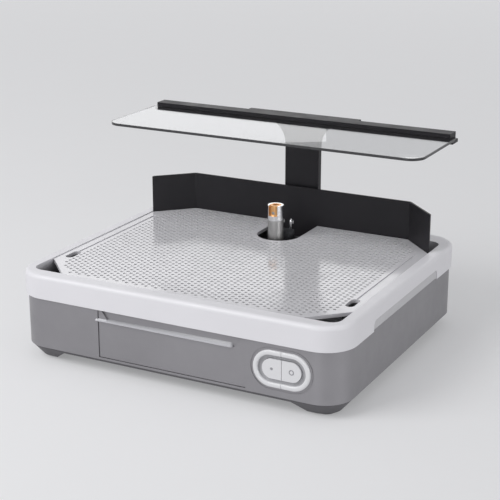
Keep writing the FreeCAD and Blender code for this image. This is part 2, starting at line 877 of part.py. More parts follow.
def water_tray():
    """White tray: a rim with a skirt outside the housing, and a well that hangs inside it."""
    rim = rounded_block("tray_rim", TRAY_X, (-TRAY_Y, TRAY_Y), (Z_SKIRT, Z_RIM), dim.tray_corner)
    rim = round_edges(rim, dim.rim_round, at_height((Z_RIM - Z_SKIRT).value))
    under = rounded_block(
        "tray_under", TRAY_X - dim.skirt_wall, (dim.skirt_wall - TRAY_Y, TRAY_Y - dim.skirt_wall),
        (Z_SKIRT - OVERCUT, Z_SEAT), dim.tray_corner - dim.skirt_wall,
    )
    outside = rounded_block(
        "tray_well_outside", WELL_X + dim.tray_wall,
        (WELL_FRONT - dim.tray_wall, WELL_BACK + dim.tray_wall),
        (Z_TRAY, Z_SEAT + OVERCUT), dim.well_corner + dim.tray_wall,
    )
    well = rounded_block(
        "tray_well", WELL_X, (WELL_FRONT, WELL_BACK), (Z_FLOOR, Z_RIM + OVERCUT), dim.well_corner,
    )
    hump = rod("tray_hump", SPINDLE, (Z_TRAY, Z_HUMP), HUMP_RADIUS)
    pipe = rod("tray_pipe", SPINDLE, (Z_HUMP - OVERCUT, Z_PIPE), dim.pipe_bore + dim.pipe_wall)
    hump_bore = rod("tray_hump_bore", SPINDLE, (Z_TRAY - OVERCUT, Z_HUMP - dim.tray_wall), HUMP_BORE)
    pipe_bore = rod("tray_pipe_bore", SPINDLE, (Z_TRAY - OVERCUT, Z_PIPE + OVERCUT), dim.pipe_bore)
    handles = [
        box(
            f"tray_handle{side}",
            ordered(side, TRAY_X - dim.handle_depth, TRAY_X + OVERCUT),
            centred(measure(0), dim.handle_length), (Z_SKIRT - OVERCUT, Z_SEAT + dim.handle_rise),
        )
        for side in SIDES
    ]
    notch = SOCKET_X + dim.socket_notch
    socket_notch = box(
        "tray_socket_notch", (-notch, notch), (WELL_BACK + dim.tray_wall, TRAY_Y + OVERCUT),
        (Z_SKIRT - OVERCUT, Z_RIM + OVERCUT),
    )
    shell = cut("tray_shell", fuse("tray_solid", cut("tray_skirt", rim, under), outside), well)
    inside = fuse("tray_inside", shell, hump, pipe, guard_ledge())
    return cut("tray", inside, hump_bore, pipe_bore, socket_notch, *handles)


def guard_line(offset):
    """Fold and wing end of a line that runs round the back of the work surface, offset outwards."""
    fold_x = PLATE_X - dim.plate_clip + offset * (math.sqrt(2) - 1)
    back = PLATE_BACK + offset
    end_x = PLATE_X + dim.plate_gap / 2
    end_y = back - (end_x - fold_x)
    return fold_x, back, end_x, end_y


def guard_ledge():
    """Shelf inside the back of the well that the guard stands on, with a gap for its tongue."""
    fold_x, back, end_x, end_y = guard_line(-dim.ledge_reach)
    wide = WELL_X + dim.tray_wall / 2
    deep = WELL_BACK + dim.tray_wall / 2
    wing = end_y - (wide - end_x)
    outline = [
        (-wide, deep), (-wide, wing), (-fold_x, back), (fold_x, back), (wide, wing), (wide, deep),
    ]
    shelf = prism("tray_ledge", "XY", outline, (Z_LEDGE - dim.ledge_thick, Z_LEDGE))
    gap = box(
        "tray_ledge_gap", centred(measure(0), dim.tongue_wide + dim.tongue_gap * 2),
        (back - OVERCUT, WELL_BACK), (Z_LEDGE - dim.ledge_thick - OVERCUT, Z_LEDGE + OVERCUT),
    )
    return cut("tray_shelf", shelf, gap)


def splash_guard():
    """Black panel behind the work: a wing folded forwards at each end, a tongue in the ledge's gap."""
    inner = guard_line(dim.guard_gap)
    outer = guard_line(dim.guard_gap + dim.guard_wall)
    span = (Z_LEDGE, Z_LEDGE + dim.guard_height)
    panel = prism("guard_panel", "XY", guard_outline(inner, outer), span)
    outer_fold = dim.guard_fold + dim.guard_wall
    folds = ((inner[0], inner[1], dim.guard_fold), (outer[0], outer[1], outer_fold))
    for x, y, radius in folds:
        round_edges(panel, radius, upright_at(x, y))
    tongue = box(
        "guard_tongue", centred(measure(0), dim.tongue_wide), (GUARD_FRONT, GUARD_BACK),
        (Z_LEDGE - dim.ledge_thick, Z_LEDGE + OVERCUT),
    )
    return fuse("guard", panel, tongue)


def guard_outline(inner, outer):
    """Corners of the bent panel: along its inner face, then back along its outer face."""
    fold_in, back_in, end_in, wing_in = inner
    fold_out, back_out, end_out, wing_out = outer
    front = [(-end_in, wing_in), (-fold_in, back_in), (fold_in, back_in), (end_in, wing_in)]
    rear = [(end_out, wing_out), (fold_out, back_out), (-fold_out, back_out), (-end_out, wing_out)]
    return front + rear


def handle_grips():
    """Soft strips at the back of the two side finger holds."""
    depth = TRAY_X - dim.handle_depth
    return group("grips", [
        box(
            f"grip{side}", ordered(side, depth, depth + dim.grip_thick),
            centred(measure(0), dim.handle_length), (Z_SEAT, Z_SEAT + dim.handle_rise),
        )
        for side in SIDES
    ])


def splash_cap():
    """Black cap over the hump, round the standpipe."""
    return tube(
        "cap", SPINDLE, (Z_HUMP, Z_CAP), HUMP_RADIUS - dim.cap_inset,
        dim.pipe_bore + dim.pipe_wall + dim.screw_fit,
    )


SPONGE_FRONT = MOTOR_Y + dim.pipe_bore + dim.pipe_wall + dim.sponge_gap
SPONGE_BACK = SPONGE_FRONT + dim.sponge_thick
CLIP_Y = SPONGE_BACK + dim.clip_gap + dim.clip_wire + dim.clip_margin


def sponge():
    """Soft block that wets the bit: it stands on the cap, and a lip reaches over the standpipe."""
    wide = centred(measure(0), dim.sponge_wide)
    top = Z_CAP + dim.sponge_tall
    block = box("sponge_block", wide, (SPONGE_FRONT, SPONGE_BACK), (Z_CAP, top))
    lip_front = MOTOR_Y + dim.bit_radius + dim.sponge_lip_gap
    lip = box("sponge_lip", wide, (lip_front, SPONGE_BACK), (Z_PIPE + dim.sponge_lip_rise, top))
    return fuse("sponge_whole", block, lip)


def clip_hook(name, x, z):
    """Half ring of wire over the top of a leg, turned towards the back."""
    hook = doc.addObject("Part::Torus", name)
    hook.setExpression("Radius1", dim.clip_hook.text)
    hook.setExpression("Radius2", dim.clip_wire.text)
    hook.Angle3 = 180
    stand_up = FreeCAD.Rotation(FreeCAD.Vector(1, 0, 0), 90)
    face_side = FreeCAD.Rotation(FreeCAD.Vector(0, 0, 1), 90)
    hook.Placement = FreeCAD.Placement(FreeCAD.Vector(), face_side * stand_up)
    place(hook, x, CLIP_Y + dim.clip_hook, z)
    return hook


def sponge_clip():
    """Clip behind the sponge: two wire legs with hooked tops on a flat foot."""
    half = dim.clip_span / 2
    edge = dim.clip_wire + dim.clip_margin
    top_z = Z_CAP + dim.clip_tall
    foot = box(
        "clip_foot", (-half - edge, half + edge), (CLIP_Y - edge, CLIP_Y + edge),
        (Z_CAP, Z_CAP + dim.clip_foot),
    )
    pieces = [foot]
    for side in SIDES:
        x = side * half
        pieces.append(rod(f"clip_leg{side}", (x, CLIP_Y), (Z_CAP, top_z), dim.clip_wire))
        pieces.append(clip_hook(f"clip_hook{side}", x, top_z))
        tip = (x, CLIP_Y + dim.clip_hook * 2)
        pieces.append(rod(f"clip_tip{side}", tip, (top_z - dim.clip_hook, top_z), dim.clip_wire))
    return fuse("clip", *pieces)


# Work surface and baffle.

def work_surface():
    """Eight-sided plate over the well, with a notch round the bit, two finger holes and grooves."""
    clip = dim.plate_clip
    outline = [
        (clip - PLATE_X, PLATE_FRONT), (PLATE_X - clip, PLATE_FRONT),
        (PLATE_X, PLATE_FRONT + clip), (PLATE_X, PLATE_BACK - clip),
        (PLATE_X - clip, PLATE_BACK), (clip - PLATE_X, PLATE_BACK),
        (-PLATE_X, PLATE_BACK - clip), (-PLATE_X, PLATE_FRONT + clip),
    ]
    plate = prism("plate", "XY", outline, (Z_PLATE_UNDER, Z_PLATE))
    through = (Z_PLATE_UNDER - OVERCUT, Z_PLATE + OVERCUT)
    middle = MOTOR_Y + dim.notch_behind
    wide = (-dim.notch_radius, dim.notch_radius)
    notch = fuse(
        "plate_notch",
        rod("plate_notch_round", (measure(0), middle), through, dim.notch_radius),
        box("plate_notch_mouth", wide, (middle, PLATE_BACK + OVERCUT), through),
    )
    tools = [notch]
    radius = dim.finger_wide / 2
    for side in SIDES:
        x = side * (PLATE_X - dim.finger_inset)
        front = PLATE_FRONT + dim.finger_front
        back = front + dim.finger_long - dim.finger_wide
        for end, y in (("front", front), ("back", back)):
            tools.append(rod(f"plate_finger_{end}{side}", (x, y), through, radius))
        tools.append(box(f"plate_finger{side}", centred(x, dim.finger_wide), (front, back), through))
        tools.append(box(
            f"plate_groove{side}", centred(x, dim.groove_wide), (back, PLATE_BACK - dim.groove_end),
            (Z_PLATE - dim.groove_deep, Z_PLATE + OVERCUT),
        ))
    return cut("plate_cut", plate, *tools)


def baffle_frame():
    """Ribs that stand on the well's floor, carry the work surface and calm the water."""
    span = (Z_FLOOR, Z_PLATE_UNDER)
    reach_x = (dim.rib_margin - WELL_X, WELL_X - dim.rib_margin)
    reach_y = (WELL_FRONT + dim.rib_margin, PLATE_BACK - dim.plate_clip)
    beside = HUMP_RADIUS + dim.rib_beside
    across = (WELL_FRONT + dim.rib_front, MOTOR_Y - HUMP_RADIUS - dim.rib_before)
    ribs = [box(f"rib_y{side}", centred(side * beside, dim.rib_thick), reach_y, span) for side in SIDES]
    ribs += [box(f"rib_x{i}", reach_x, centred(y, dim.rib_thick), span) for i, y in enumerate(across)]
    return fuse("baffle", *ribs)


# Drawer.

def pull_half(z):
    """Half width of the drawer's scoop at a height: it widens upwards."""
    return DRAWER_X - dim.pull_end - dim.pull_slant * (PANEL_TOP - z) / dim.scoop_tall


def scoop_outline(low, high):
    """The scoop's slanted outline between two heights, seen from the front."""
    bottom, top = pull_half(low), pull_half(high)
    return [(-bottom, low), (bottom, low), (top, high), (-top, high)]


def drawer_front():
    """Panel set a little back in the housing, with a slant-ended scoop along its top."""
    panel = box(
        "drawer_panel_block", (-DRAWER_X, DRAWER_X), (PANEL_FRONT, PANEL_BACK), (Z_DRAWER, PANEL_TOP),
    )
    scoop = prism(
        "drawer_scoop", "XZ", scoop_outline(PULL_Z, PANEL_TOP + OVERCUT),
        (PANEL_FRONT - OVERCUT, PANEL_FRONT + dim.scoop_depth),
    )
    return cut("drawer_face", panel, scoop)


def drawer_pull():
    """Pale lip along the bottom of the scoop, where the fingers pull."""
    return prism(
        "drawer_lip", "XZ", scoop_outline(PULL_Z, PULL_Z + dim.pull_tall),
        (HOUSE_FRONT - dim.pull_proud, PANEL_FRONT + dim.scoop_depth),
    )


def drawer_box():
    """Open box behind the drawer's panel."""
    low = Z_DRAWER + dim.drawer_gap
    top = Z_DECK_UNDER - dim.box_under_deck
    back = PANEL_BACK + dim.box_depth
    wall = dim.box_wall
    outside = box("drawer_outside", (-BOX_X, BOX_X), (PANEL_BACK, back), (low, top))
    inside = box(
        "drawer_inside", (wall - BOX_X, BOX_X - wall), (PANEL_BACK + wall, back - wall),
        (low + wall, top + OVERCUT),
    )
    return cut("drawer_tub", outside, inside)


def drawer_runners():
    """Two rails on the pan that the drawer's box slides on and between."""
    rails = []
    low = Z_DRAWER + dim.drawer_gap
    span = (PANEL_BACK + dim.drawer_gap, PANEL_BACK + dim.box_depth)
    for side in SIDES:
        edge = BOX_X + dim.drawer_gap
        bed = box(
            f"runner_bed{side}", ordered(side, edge - dim.runner_wide, edge + dim.runner_lip),
            span, (Z_HOUSING, low),
        )
        lip = box(
            f"runner_lip{side}", ordered(side, edge, edge + dim.runner_lip),
            span, (Z_HOUSING, low + dim.runner_tall),
        )
        rails.append(fuse(f"runner{side}", bed, lip))
    return group("runners", rails)


# Power switch and inlet.

TROUGH_WIDE = dim.bezel_wide - dim.bezel_band * 2 + dim.trough_wall * 2
TROUGH_TALL = dim.bezel_tall - dim.bezel_band * 2 + dim.trough_wall * 2
SWITCH = (SWITCH_X, Z_SWITCH)
BEZEL_FRONT = HOUSE_FRONT - dim.bezel_proud
TROUGH_FLOOR = HOUSE_FRONT + dim.trough_depth
TROUGH_BACK = TROUGH_FLOOR + dim.trough_wall
KEY_FRONT = HOUSE_FRONT - dim.key_proud
KEY_BACK = KEY_FRONT + dim.key_long
SWITCH_WIDE = dim.bezel_wide - dim.bezel_band * 2
SWITCH_TALL = dim.bezel_tall - dim.bezel_band * 2
SWITCH_BACK = KEY_BACK + dim.key_room + dim.switch_floor


def switch_bezel():
    """Oval frame on the housing's front, with a trough round the keys."""
    ring = stadium("bezel_ring", SWITCH, dim.bezel_wide, dim.bezel_tall, (BEZEL_FRONT, HOUSE_FRONT))
    cup = stadium("bezel_cup", SWITCH, TROUGH_WIDE, TROUGH_TALL, (HOUSE_FRONT - OVERCUT, TROUGH_BACK))
    trough = stadium(
        "bezel_trough", SWITCH, TROUGH_WIDE - dim.trough_wall * 2, TROUGH_TALL - dim.trough_wall * 2,
        (BEZEL_FRONT - OVERCUT, TROUGH_FLOOR),
    )
    keyhole = stadium(
        "bezel_keyhole", SWITCH, dim.key_wide + dim.key_gap * 2, dim.key_tall + dim.key_gap * 2,
        (BEZEL_FRONT - OVERCUT, TROUGH_BACK + OVERCUT),
    )
    notch = box(
        "bezel_notch", centred(SWITCH_X, dim.bezel_notch),
        (BEZEL_FRONT - OVERCUT, BEZEL_FRONT + dim.bezel_notch / 2),
        centred(Z_SWITCH, dim.bezel_tall + OVERCUT),
    )
    return cut("bezel", fuse("bezel_body", ring, cup), trough, keyhole, notch)


def switch_key(name, side):
    """One half of the key pair, left or right of the split."""
    pair = stadium(name + "_pair", SWITCH, dim.key_wide, dim.key_tall, (KEY_FRONT, KEY_BACK))
    split = dim.key_split / 2
    reach = dim.key_wide / 2 + OVERCUT
    span = (SWITCH_X + split, SWITCH_X + reach)
    if side < 0:
        span = (SWITCH_X - reach, SWITCH_X - split)
    keep = box(
        name + "_keep", span, (KEY_FRONT - OVERCUT, KEY_BACK + OVERCUT),
        centred(Z_SWITCH, dim.key_tall + OVERCUT),
    )
    half = doc.addObject("Part::MultiCommon", name)
    half.Shapes = [pair, keep]
    return half


def switch_body():
    """Slim switch block clipped to the back of the bezel, with room for the keys' travel."""
    block = box(
        "switch_block", centred(SWITCH_X, SWITCH_WIDE), (TROUGH_BACK, SWITCH_BACK),
        centred(Z_SWITCH, SWITCH_TALL),
    )
    room = box(
        "switch_room", centred(SWITCH_X, dim.key_wide + dim.trough_wall * 2),
        (TROUGH_BACK - OVERCUT, KEY_BACK + dim.key_room),
        centred(Z_SWITCH, dim.key_tall + dim.trough_wall * 2),
    )
    return cut("switch_case", block, room)


def power_inlet():
    """Three-pole mains inlet in the back wall, with a flange outside."""
    x = INLET_X
    flange = box(
        "inlet_flange_plate", centred(x, dim.inlet_wide + dim.inlet_flange * 2),
        (HOUSE_Y, HOUSE_Y + dim.flange_thick),
        centred(Z_INLET, dim.inlet_tall + dim.inlet_flange * 2),
    )
    case = box(
        "inlet_case", centred(x, dim.inlet_wide),
        (HOUSE_Y - dim.inlet_deep, HOUSE_Y + dim.flange_thick),
        centred(Z_INLET, dim.inlet_tall),
    )
    socket = box(
        "inlet_socket", centred(x, dim.inlet_wide - dim.inlet_wall * 2),
        (HOUSE_Y - dim.inlet_deep + dim.inlet_back, HOUSE_Y + dim.flange_thick + OVERCUT),
        centred(Z_INLET, dim.inlet_tall - dim.inlet_wall * 2),
    )
    return cut("inlet", fuse("inlet_body", flange, case), socket)


def inlet_blades():
    """The inlet's three contact blades, the middle one lower."""
    low = HOUSE_Y - dim.inlet_deep + dim.inlet_back
    span = (low, HOUSE_Y - dim.blade_sink)
    blades = []
    for place_number in (-1, 0, 1):
        drop = dim.blade_drop if place_number == 0 else -dim.blade_drop / 2
        blades.append(box(
            f"blade{place_number}",
            centred(INLET_X + dim.blade_pitch * place_number, dim.blade_thick),
            span, centred(Z_INLET - drop, dim.blade_wide),
        ))
    return group("blades", blades)


# Control board.

BOARD_MIDDLE = (
    HOUSE_X - dim.housing_wall - dim.board_side_gap - dim.board_wide / 2,
    HOUSE_FRONT + dim.board_front_gap + dim.board_long / 2,
)


def control_board():
    """Circuit board for the motor and the light, on standoffs over the pan."""
    return box(
        "board", centred(BOARD_MIDDLE[0], dim.board_wide), centred(BOARD_MIDDLE[1], dim.board_long),
        (Z_BOARD, Z_BOARD + dim.board_thick),
    )


def board_standoffs():
    """Four posts under the board's corners."""
    inset = dim.standoff_inset
    half_x = dim.board_wide / 2 - inset
    half_y = dim.board_long / 2 - inset
    return group("standoffs", [
        rod(
            f"standoff{a}{b}", (BOARD_MIDDLE[0] + a * half_x, BOARD_MIDDLE[1] + b * half_y),
            (Z_HOUSING, Z_BOARD), dim.standoff_radius,
        )
        for a in SIDES for b in SIDES
    ])


def board_capacitor():
    """Smoothing capacitor on the board."""
    top = Z_BOARD + dim.board_thick
    y = BOARD_MIDDLE[1] + dim.board_long / 4
    span = (top, top + dim.capacitor_tall)
    return rod("capacitor", (BOARD_MIDDLE[0], y), span, dim.capacitor_radius)


def power_module():
    """Sealed supply block on the board."""
    top = Z_BOARD + dim.board_thick
    y = BOARD_MIDDLE[1] - dim.board_long / 6
    return box(
        "module", centred(BOARD_MIDDLE[0], dim.module_wide), centred(y, dim.module_long),
        (top, top + dim.module_tall),
    )


# Post, light bar and eye shield.

Z_POST = Z_RIM - dim.post_reach
LIGHT_BACK = POST_FRONT - dim.light_back
LIGHT_FRONT = LIGHT_BACK - dim.light_wide
LIGHT_X = BAR_X - dim.light_end
LIGHT_TOP = Z_BAR + dim.light_deep
SHIELD_SCREWS = [(side * dim.shield_screw_x, (LIGHT_TOP + Z_BAR_TOP) / 2) for side in SIDES]
SHIELD_SCREW_END = POST_FRONT - dim.shield_screw_long


def post_socket():
    """Tower at the back of the housing that the shield's post drops into."""
    lower = box(
        "socket_lower", (-SOCKET_X, SOCKET_X),
        (SOCKET_FRONT, HOUSE_Y - dim.housing_wall), (Z_DECK, Z_RIM),
    )
    upper = box("socket_upper", (-SOCKET_X, SOCKET_X), (SOCKET_FRONT, HOUSE_Y), (Z_SEAT, Z_RIM))
    half = dim.post_width / 2 + dim.post_fit
    slot = box(
        "socket_slot", (-half, half), (POST_FRONT - dim.post_fit, POST_BACK + dim.post_fit),
        (Z_POST, Z_RIM + OVERCUT),
    )
    return cut("socket", fuse("socket_body", lower, upper), slot)


def shield_post():
    """Flat post whose top spreads into two arms behind the light bar."""
    half = dim.post_width / 2
    arm = Z_BAR_TOP - dim.flare_tall
    flare = dim.flare_half
    outline = [
        (-half, Z_POST), (half, Z_POST), (half, arm), (flare, arm),
        (flare, Z_BAR_TOP), (-flare, Z_BAR_TOP), (-flare, arm), (-half, arm),
    ]
    post = prism("post_blank", "XZ", outline, (POST_FRONT, POST_BACK))

    def inner_corner(edge):
        middle = edge.CenterOfMass
        at_corner = abs(abs(middle.x) - half.value) < NEAR and abs(middle.z - arm.value) < NEAR
        return at_corner and edge.BoundBox.YLength > NEAR

    post = round_edges(post, dim.flare_round, inner_corner)
    return cut("post", post, *shield_screw_holes("post_hole"))


def shield_screw_holes(name):
    """Clearance for the screws through the post and into the bar."""
    span = (SHIELD_SCREW_END - OVERCUT, POST_BACK + OVERCUT)
    reach = dim.screw_radius + dim.screw_fit
    return [rod(f"{name}{i}", at, span, reach, "Y") for i, at in enumerate(SHIELD_SCREWS)]


def shield_screws():
    """Two screws from behind that hold the bar to the post."""
    pieces = []
    for i, at in enumerate(SHIELD_SCREWS):
        outside = (POST_BACK, POST_BACK + dim.head_thick)
        head = rod(f"shield_screw{i}_head", at, outside, dim.head_radius, "Y")
        inside = (SHIELD_SCREW_END, POST_BACK)
        shank = rod(f"shield_screw{i}_shank", at, inside, dim.screw_radius, "Y")
        pieces.append(fuse(f"shield_screw{i}", head, shank))
    return group("shield_screw_set", pieces)


def light_bar():
    """Black bar along the sheet's back edge: a slot for the sheet, and a light channel below."""
    bar = box("bar_blank", (-BAR_X, BAR_X), (BAR_FRONT, POST_FRONT), (Z_BAR, Z_BAR_TOP))
    slot = box(
        "bar_sheet_slot", (-BAR_X - OVERCUT, BAR_X + OVERCUT),
        (BAR_FRONT - OVERCUT, BAR_FRONT + dim.bar_slot),
        (Z_SHEET - dim.slot_fit, Z_SHEET + dim.sheet_thick + dim.slot_fit),
    )
    channel = box(
        "bar_light_channel", (-LIGHT_X, LIGHT_X), (LIGHT_FRONT, LIGHT_BACK),
        (Z_BAR - OVERCUT, LIGHT_TOP),
    )
    return cut("bar", bar, slot, channel, *shield_screw_holes("bar_hole"))


def bar_end_caps():
    """Moulded caps on the two ends of the bar."""
    return group("bar_caps", [
        box(
            f"bar_cap{side}", ordered(side, BAR_X, BAR_X + dim.bar_cap),
            (BAR_FRONT, POST_FRONT), (Z_BAR, Z_SHEET - dim.slot_fit),
        )
        for side in SIDES
    ])


def led_strip():
    """Narrow circuit board at the top of the light channel."""
    return box(
        "led_board_strip", (-LIGHT_X, LIGHT_X), (LIGHT_FRONT, LIGHT_BACK),
        (LIGHT_TOP - dim.led_board, LIGHT_TOP),
    )


def led_chips():
    """Row of light chips under the board."""
    count = SIZES["led_count"]
    pitch = LIGHT_X * 2 / count
    top = LIGHT_TOP - dim.led_board
    middle = (LIGHT_FRONT + LIGHT_BACK) / 2
    return group("leds", [
        box(
            f"led{i}", centred(pitch * (i + 0.5) - LIGHT_X, dim.led_size),
            centred(middle, dim.led_size), (top - dim.led_thick, top),
        )
        for i in range(count)
    ])


def light_diffuser():
    """Milky strip that closes the light channel."""
    span = (Z_BAR, Z_BAR + dim.diffuser_thick)
    return box("diffuser", (-LIGHT_X, LIGHT_X), (LIGHT_FRONT, LIGHT_BACK), span)


def front_corners(edge):
    """True of the two upright edges at the front of a sheet."""
    return upright(edge) and edge.CenterOfMass.y < SHEET_FRONT.value + dim.edge_band.value * 2


def sheet_block(name, inset):
    """The sheet's outline, drawn in from its front and sides by an inset."""
    half = dim.sheet_width / 2 - inset
    outline = rectangle(half, (SHEET_FRONT + inset, BAR_FRONT + dim.bar_slot))
    block = prism(name, "XY", outline, (Z_SHEET, Z_SHEET + dim.sheet_thick))
    return round_edges(block, dim.sheet_corner - inset, front_corners)


def shield_sheet():
    """Clear sheet that keeps chips from the eyes."""
    return sheet_block("sheet_clear", dim.edge_band + dim.bond_gap)


def sheet_edge_band():
    """Dark band bonded round the sheet's front and sides, ahead of the bar."""
    half = dim.sheet_width / 2 + OVERCUT
    outside = sheet_block("sheet_band_outside", measure(0))
    inside = sheet_block("sheet_band_inside", dim.edge_band)
    in_bar = box(
        "sheet_band_in_bar", (-half, half), (BAR_FRONT, BAR_FRONT + dim.bar_slot + OVERCUT),
        (Z_SHEET - OVERCUT, Z_SHEET + dim.sheet_thick + OVERCUT),
    )
    return cut("sheet_band", outside, inside, in_bar)


SUB_PARTS = {
    "base_pan": base_pan,
    "rubber_feet": rubber_feet,
    "base_screws": base_screws,
    "housing_shell": housing_shell,
    "motor_base": motor_base,
    "motor_screws": motor_screws,
    "motor_can": motor_can,
    "motor_lower_plate": motor_lower_plate,
    "motor_upper_plate": motor_upper_plate,
    "lower_bearing": lambda: bearing("bearing_low", Z_CAN),
    "upper_bearing": lambda: bearing("bearing_high", Z_UPPER),
    "stator_core": stator_core,
    "stator_windings": stator_windings,
    "shaft_seal": shaft_seal,
    "motor_shaft": motor_shaft,
    "rotor_core": rotor_core,
    "slinger": slinger,
    "bit_core": bit_core,
    "grit_sleeve": grit_sleeve,
    "bit_head": bit_head,
    "set_screw": set_screw,
    "water_tray": water_tray,
    "splash_guard": splash_guard,
    "handle_grips": handle_grips,
    "splash_cap": splash_cap,
    "sponge": sponge,
    "sponge_clip": sponge_clip,
    "work_surface": work_surface,
    "baffle_frame": baffle_frame,
    "drawer_front": drawer_front,
    "drawer_pull": drawer_pull,
    "drawer_box": drawer_box,
    "drawer_runners": drawer_runners,
    "switch_bezel": switch_bezel,
    "on_button": lambda: switch_key("on_half", -1),
    "off_button": lambda: switch_key("off_half", 1),
    "switch_body": switch_body,
    "power_inlet": power_inlet,
    "inlet_blades": inlet_blades,
    "control_board": control_board,
    "board_standoffs": board_standoffs,
    "board_capacitor": board_capacitor,
    "power_module": power_module,
    "post_socket": post_socket,
    "shield_post": shield_post,
    "shield_screws": shield_screws,
    "light_bar": light_bar,
    "bar_end_caps": bar_end_caps,
    "led_strip": led_strip,
    "led_chips": led_chips,
    "light_diffuser": light_diffuser,
    "shield_sheet": shield_sheet,
    "sheet_edge_band": sheet_edge_band,
}

finished = {}
for node, build in SUB_PARTS.items():
    finished[node] = build()
    finished[node].Label = node
doc.recompute()

for item in doc.Objects:
    if "Invalid" in item.State or "Error" in item.State:
        raise RuntimeError(f"{item.Name} failed: {item.State}")
for node, item in finished.items():
    shape = item.Shape
    if shape.isNull() or not shape.isValid() or not shape.Solids:
        raise RuntimeError(f"{node} has no valid solid")

os.makedirs("parts", exist_ok=True)
for node, item in finished.items():
    item.Shape.exportStep(os.path.join("parts", node + ".step"))
    print(f"{node}: {len(item.Shape.Solids)} solid(s), {item.Shape.Volume / 1000:.2f} cm3")
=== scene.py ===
# %% [markdown]
# # A bench grinder for glass, dressed on its CAD frame
# The frame brings every solid of the machine at real size, in metres, and this
# script gives it looks. One could model the machine afresh in Blender, but then
# its sizes and joints would drift from the CAD, so the solids stay and only the
# pieces that need finer shape are made new.

# %% load the frame
import json
import math

import bpy
import numpy as np
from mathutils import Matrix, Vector
from mathutils.geometry import delaunay_2d_cdt


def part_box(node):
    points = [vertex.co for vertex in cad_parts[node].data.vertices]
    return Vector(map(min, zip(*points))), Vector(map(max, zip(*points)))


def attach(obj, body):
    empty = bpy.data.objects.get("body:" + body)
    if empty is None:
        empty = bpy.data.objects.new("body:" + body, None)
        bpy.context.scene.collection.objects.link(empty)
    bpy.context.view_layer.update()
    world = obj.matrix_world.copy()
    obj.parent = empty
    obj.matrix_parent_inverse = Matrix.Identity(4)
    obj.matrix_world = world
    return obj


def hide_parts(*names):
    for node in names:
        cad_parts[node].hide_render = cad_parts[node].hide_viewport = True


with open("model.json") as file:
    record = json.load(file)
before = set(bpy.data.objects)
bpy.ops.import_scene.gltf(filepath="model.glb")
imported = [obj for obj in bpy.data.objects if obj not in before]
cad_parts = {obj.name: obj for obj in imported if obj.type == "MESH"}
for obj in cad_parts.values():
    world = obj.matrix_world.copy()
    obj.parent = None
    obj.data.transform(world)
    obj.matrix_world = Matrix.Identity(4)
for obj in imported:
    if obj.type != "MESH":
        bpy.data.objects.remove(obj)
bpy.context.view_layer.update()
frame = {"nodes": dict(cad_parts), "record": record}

scene = bpy.context.scene
scene.view_settings.view_transform = "Standard"

# %% [markdown]
# ## The camera
# The picture was taken from the machine's right front corner, a little above it,
# with a long lens, so parallel edges run together only slightly. A camera on a
# track-to constraint would also do; turning it once with to_track_quat leaves
# nothing behind that the other views would have to undo.

# %% camera
EYE = Vector((0.692, -1.307, 0.587))
AIM = Vector((0.012, -0.010, 0.113))
lens = bpy.data.cameras.new("grinder_camera")
lens.lens = 96
camera = bpy.data.objects.new("grinder_camera", lens)
camera.location = EYE
camera.rotation_euler = (AIM - EYE).to_track_quat("-Z", "Y").to_euler()
scene.collection.objects.link(camera)
scene.camera = camera
print("camera", round((AIM - EYE).length, 3), "m from the machine")

# %% [markdown]
# ## The studio
# A seamless pale floor, one large soft lamp high on the left in front, a low
# one from the right, and a pale world that fills the shadows. Together they add
# up to about one, so a colour renders near the value that it is written with.
# The two panels behind the machine stand where the clear sheet and the glossy
# plate mirror them, which is how a photographer makes clear and shiny things
# visible, and a small strip low in front draws the highlight on the housing's
# corner. The low lamps would burn pools of light into the floor beside them.
# Turning them down would lose their gleam on the machine, so light linking
# leaves the floor out of what they light.


# %% soft lamps
def soft_lamp(name, place, aim, width, height, watts):
    """An area lamp of width x height metres at place, turned towards aim. The eye looks past it."""
    lamp = bpy.data.lights.new(name, "AREA")
    lamp.shape = "RECTANGLE"
    lamp.size, lamp.size_y, lamp.energy = width, height, watts
    holder = bpy.data.objects.new(name, lamp)
    holder.location = place
    holder.rotation_euler = (Vector(aim) - Vector(place)).to_track_quat("-Z", "Y").to_euler()
    holder.visible_camera = False
    scene.collection.objects.link(holder)
    return holder


soft_lamp("key_lamp", (-1.15, -1.60, 1.75), (0, 0, 0.1), 1.5, 1.5, 34.5)
low_lamps = [
    soft_lamp("right_fill", (2.0, -0.45, 0.34), (0.2, 0, 0.08), 1.2, 0.55, 9.5),
    soft_lamp("sheet_panel", (-1.40, 2.05, 0.62), (-0.1, 0, 0.25), 1.05, 0.40, 0.76),
    soft_lamp("plate_panel", (-1.10, 2.05, 1.04), (-0.1, 0, 0.10), 2.00, 0.42, 2.9),
    soft_lamp("corner_strip", (0.12, -1.80, 0.08), (0.15, -0.17, 0.04), 0.30, 0.12, 2.6),
]
print("lamps: one high, and low ones", [lamp.name for lamp in low_lamps])

# %% [markdown]
# ## A pale background
# The sweep of paper behind a product looks nearly white, yet as much light from
# it would wash the product out. A second set of lamps for the background alone
# would be one way. Light Path is simpler: it tells which kind of ray meets a
# surface, so the world and the floor look pale to the eye, in mirrors and through
# the clear sheet, and count for less where they only light things.


# %% world
def map_range(tree, value, low, high, at_low=0.0, at_high=1.0):
    """at_low where the value is low, at_high where it is high, and straight in between."""
    node = tree.nodes.new("ShaderNodeMapRange")
    ends = {"From Min": low, "From Max": high, "To Min": at_low, "To Max": at_high}
    for socket, number in ends.items():
        node.inputs[socket].default_value = number
    tree.links.new(value, node.inputs["Value"])
    return node.outputs["Result"]


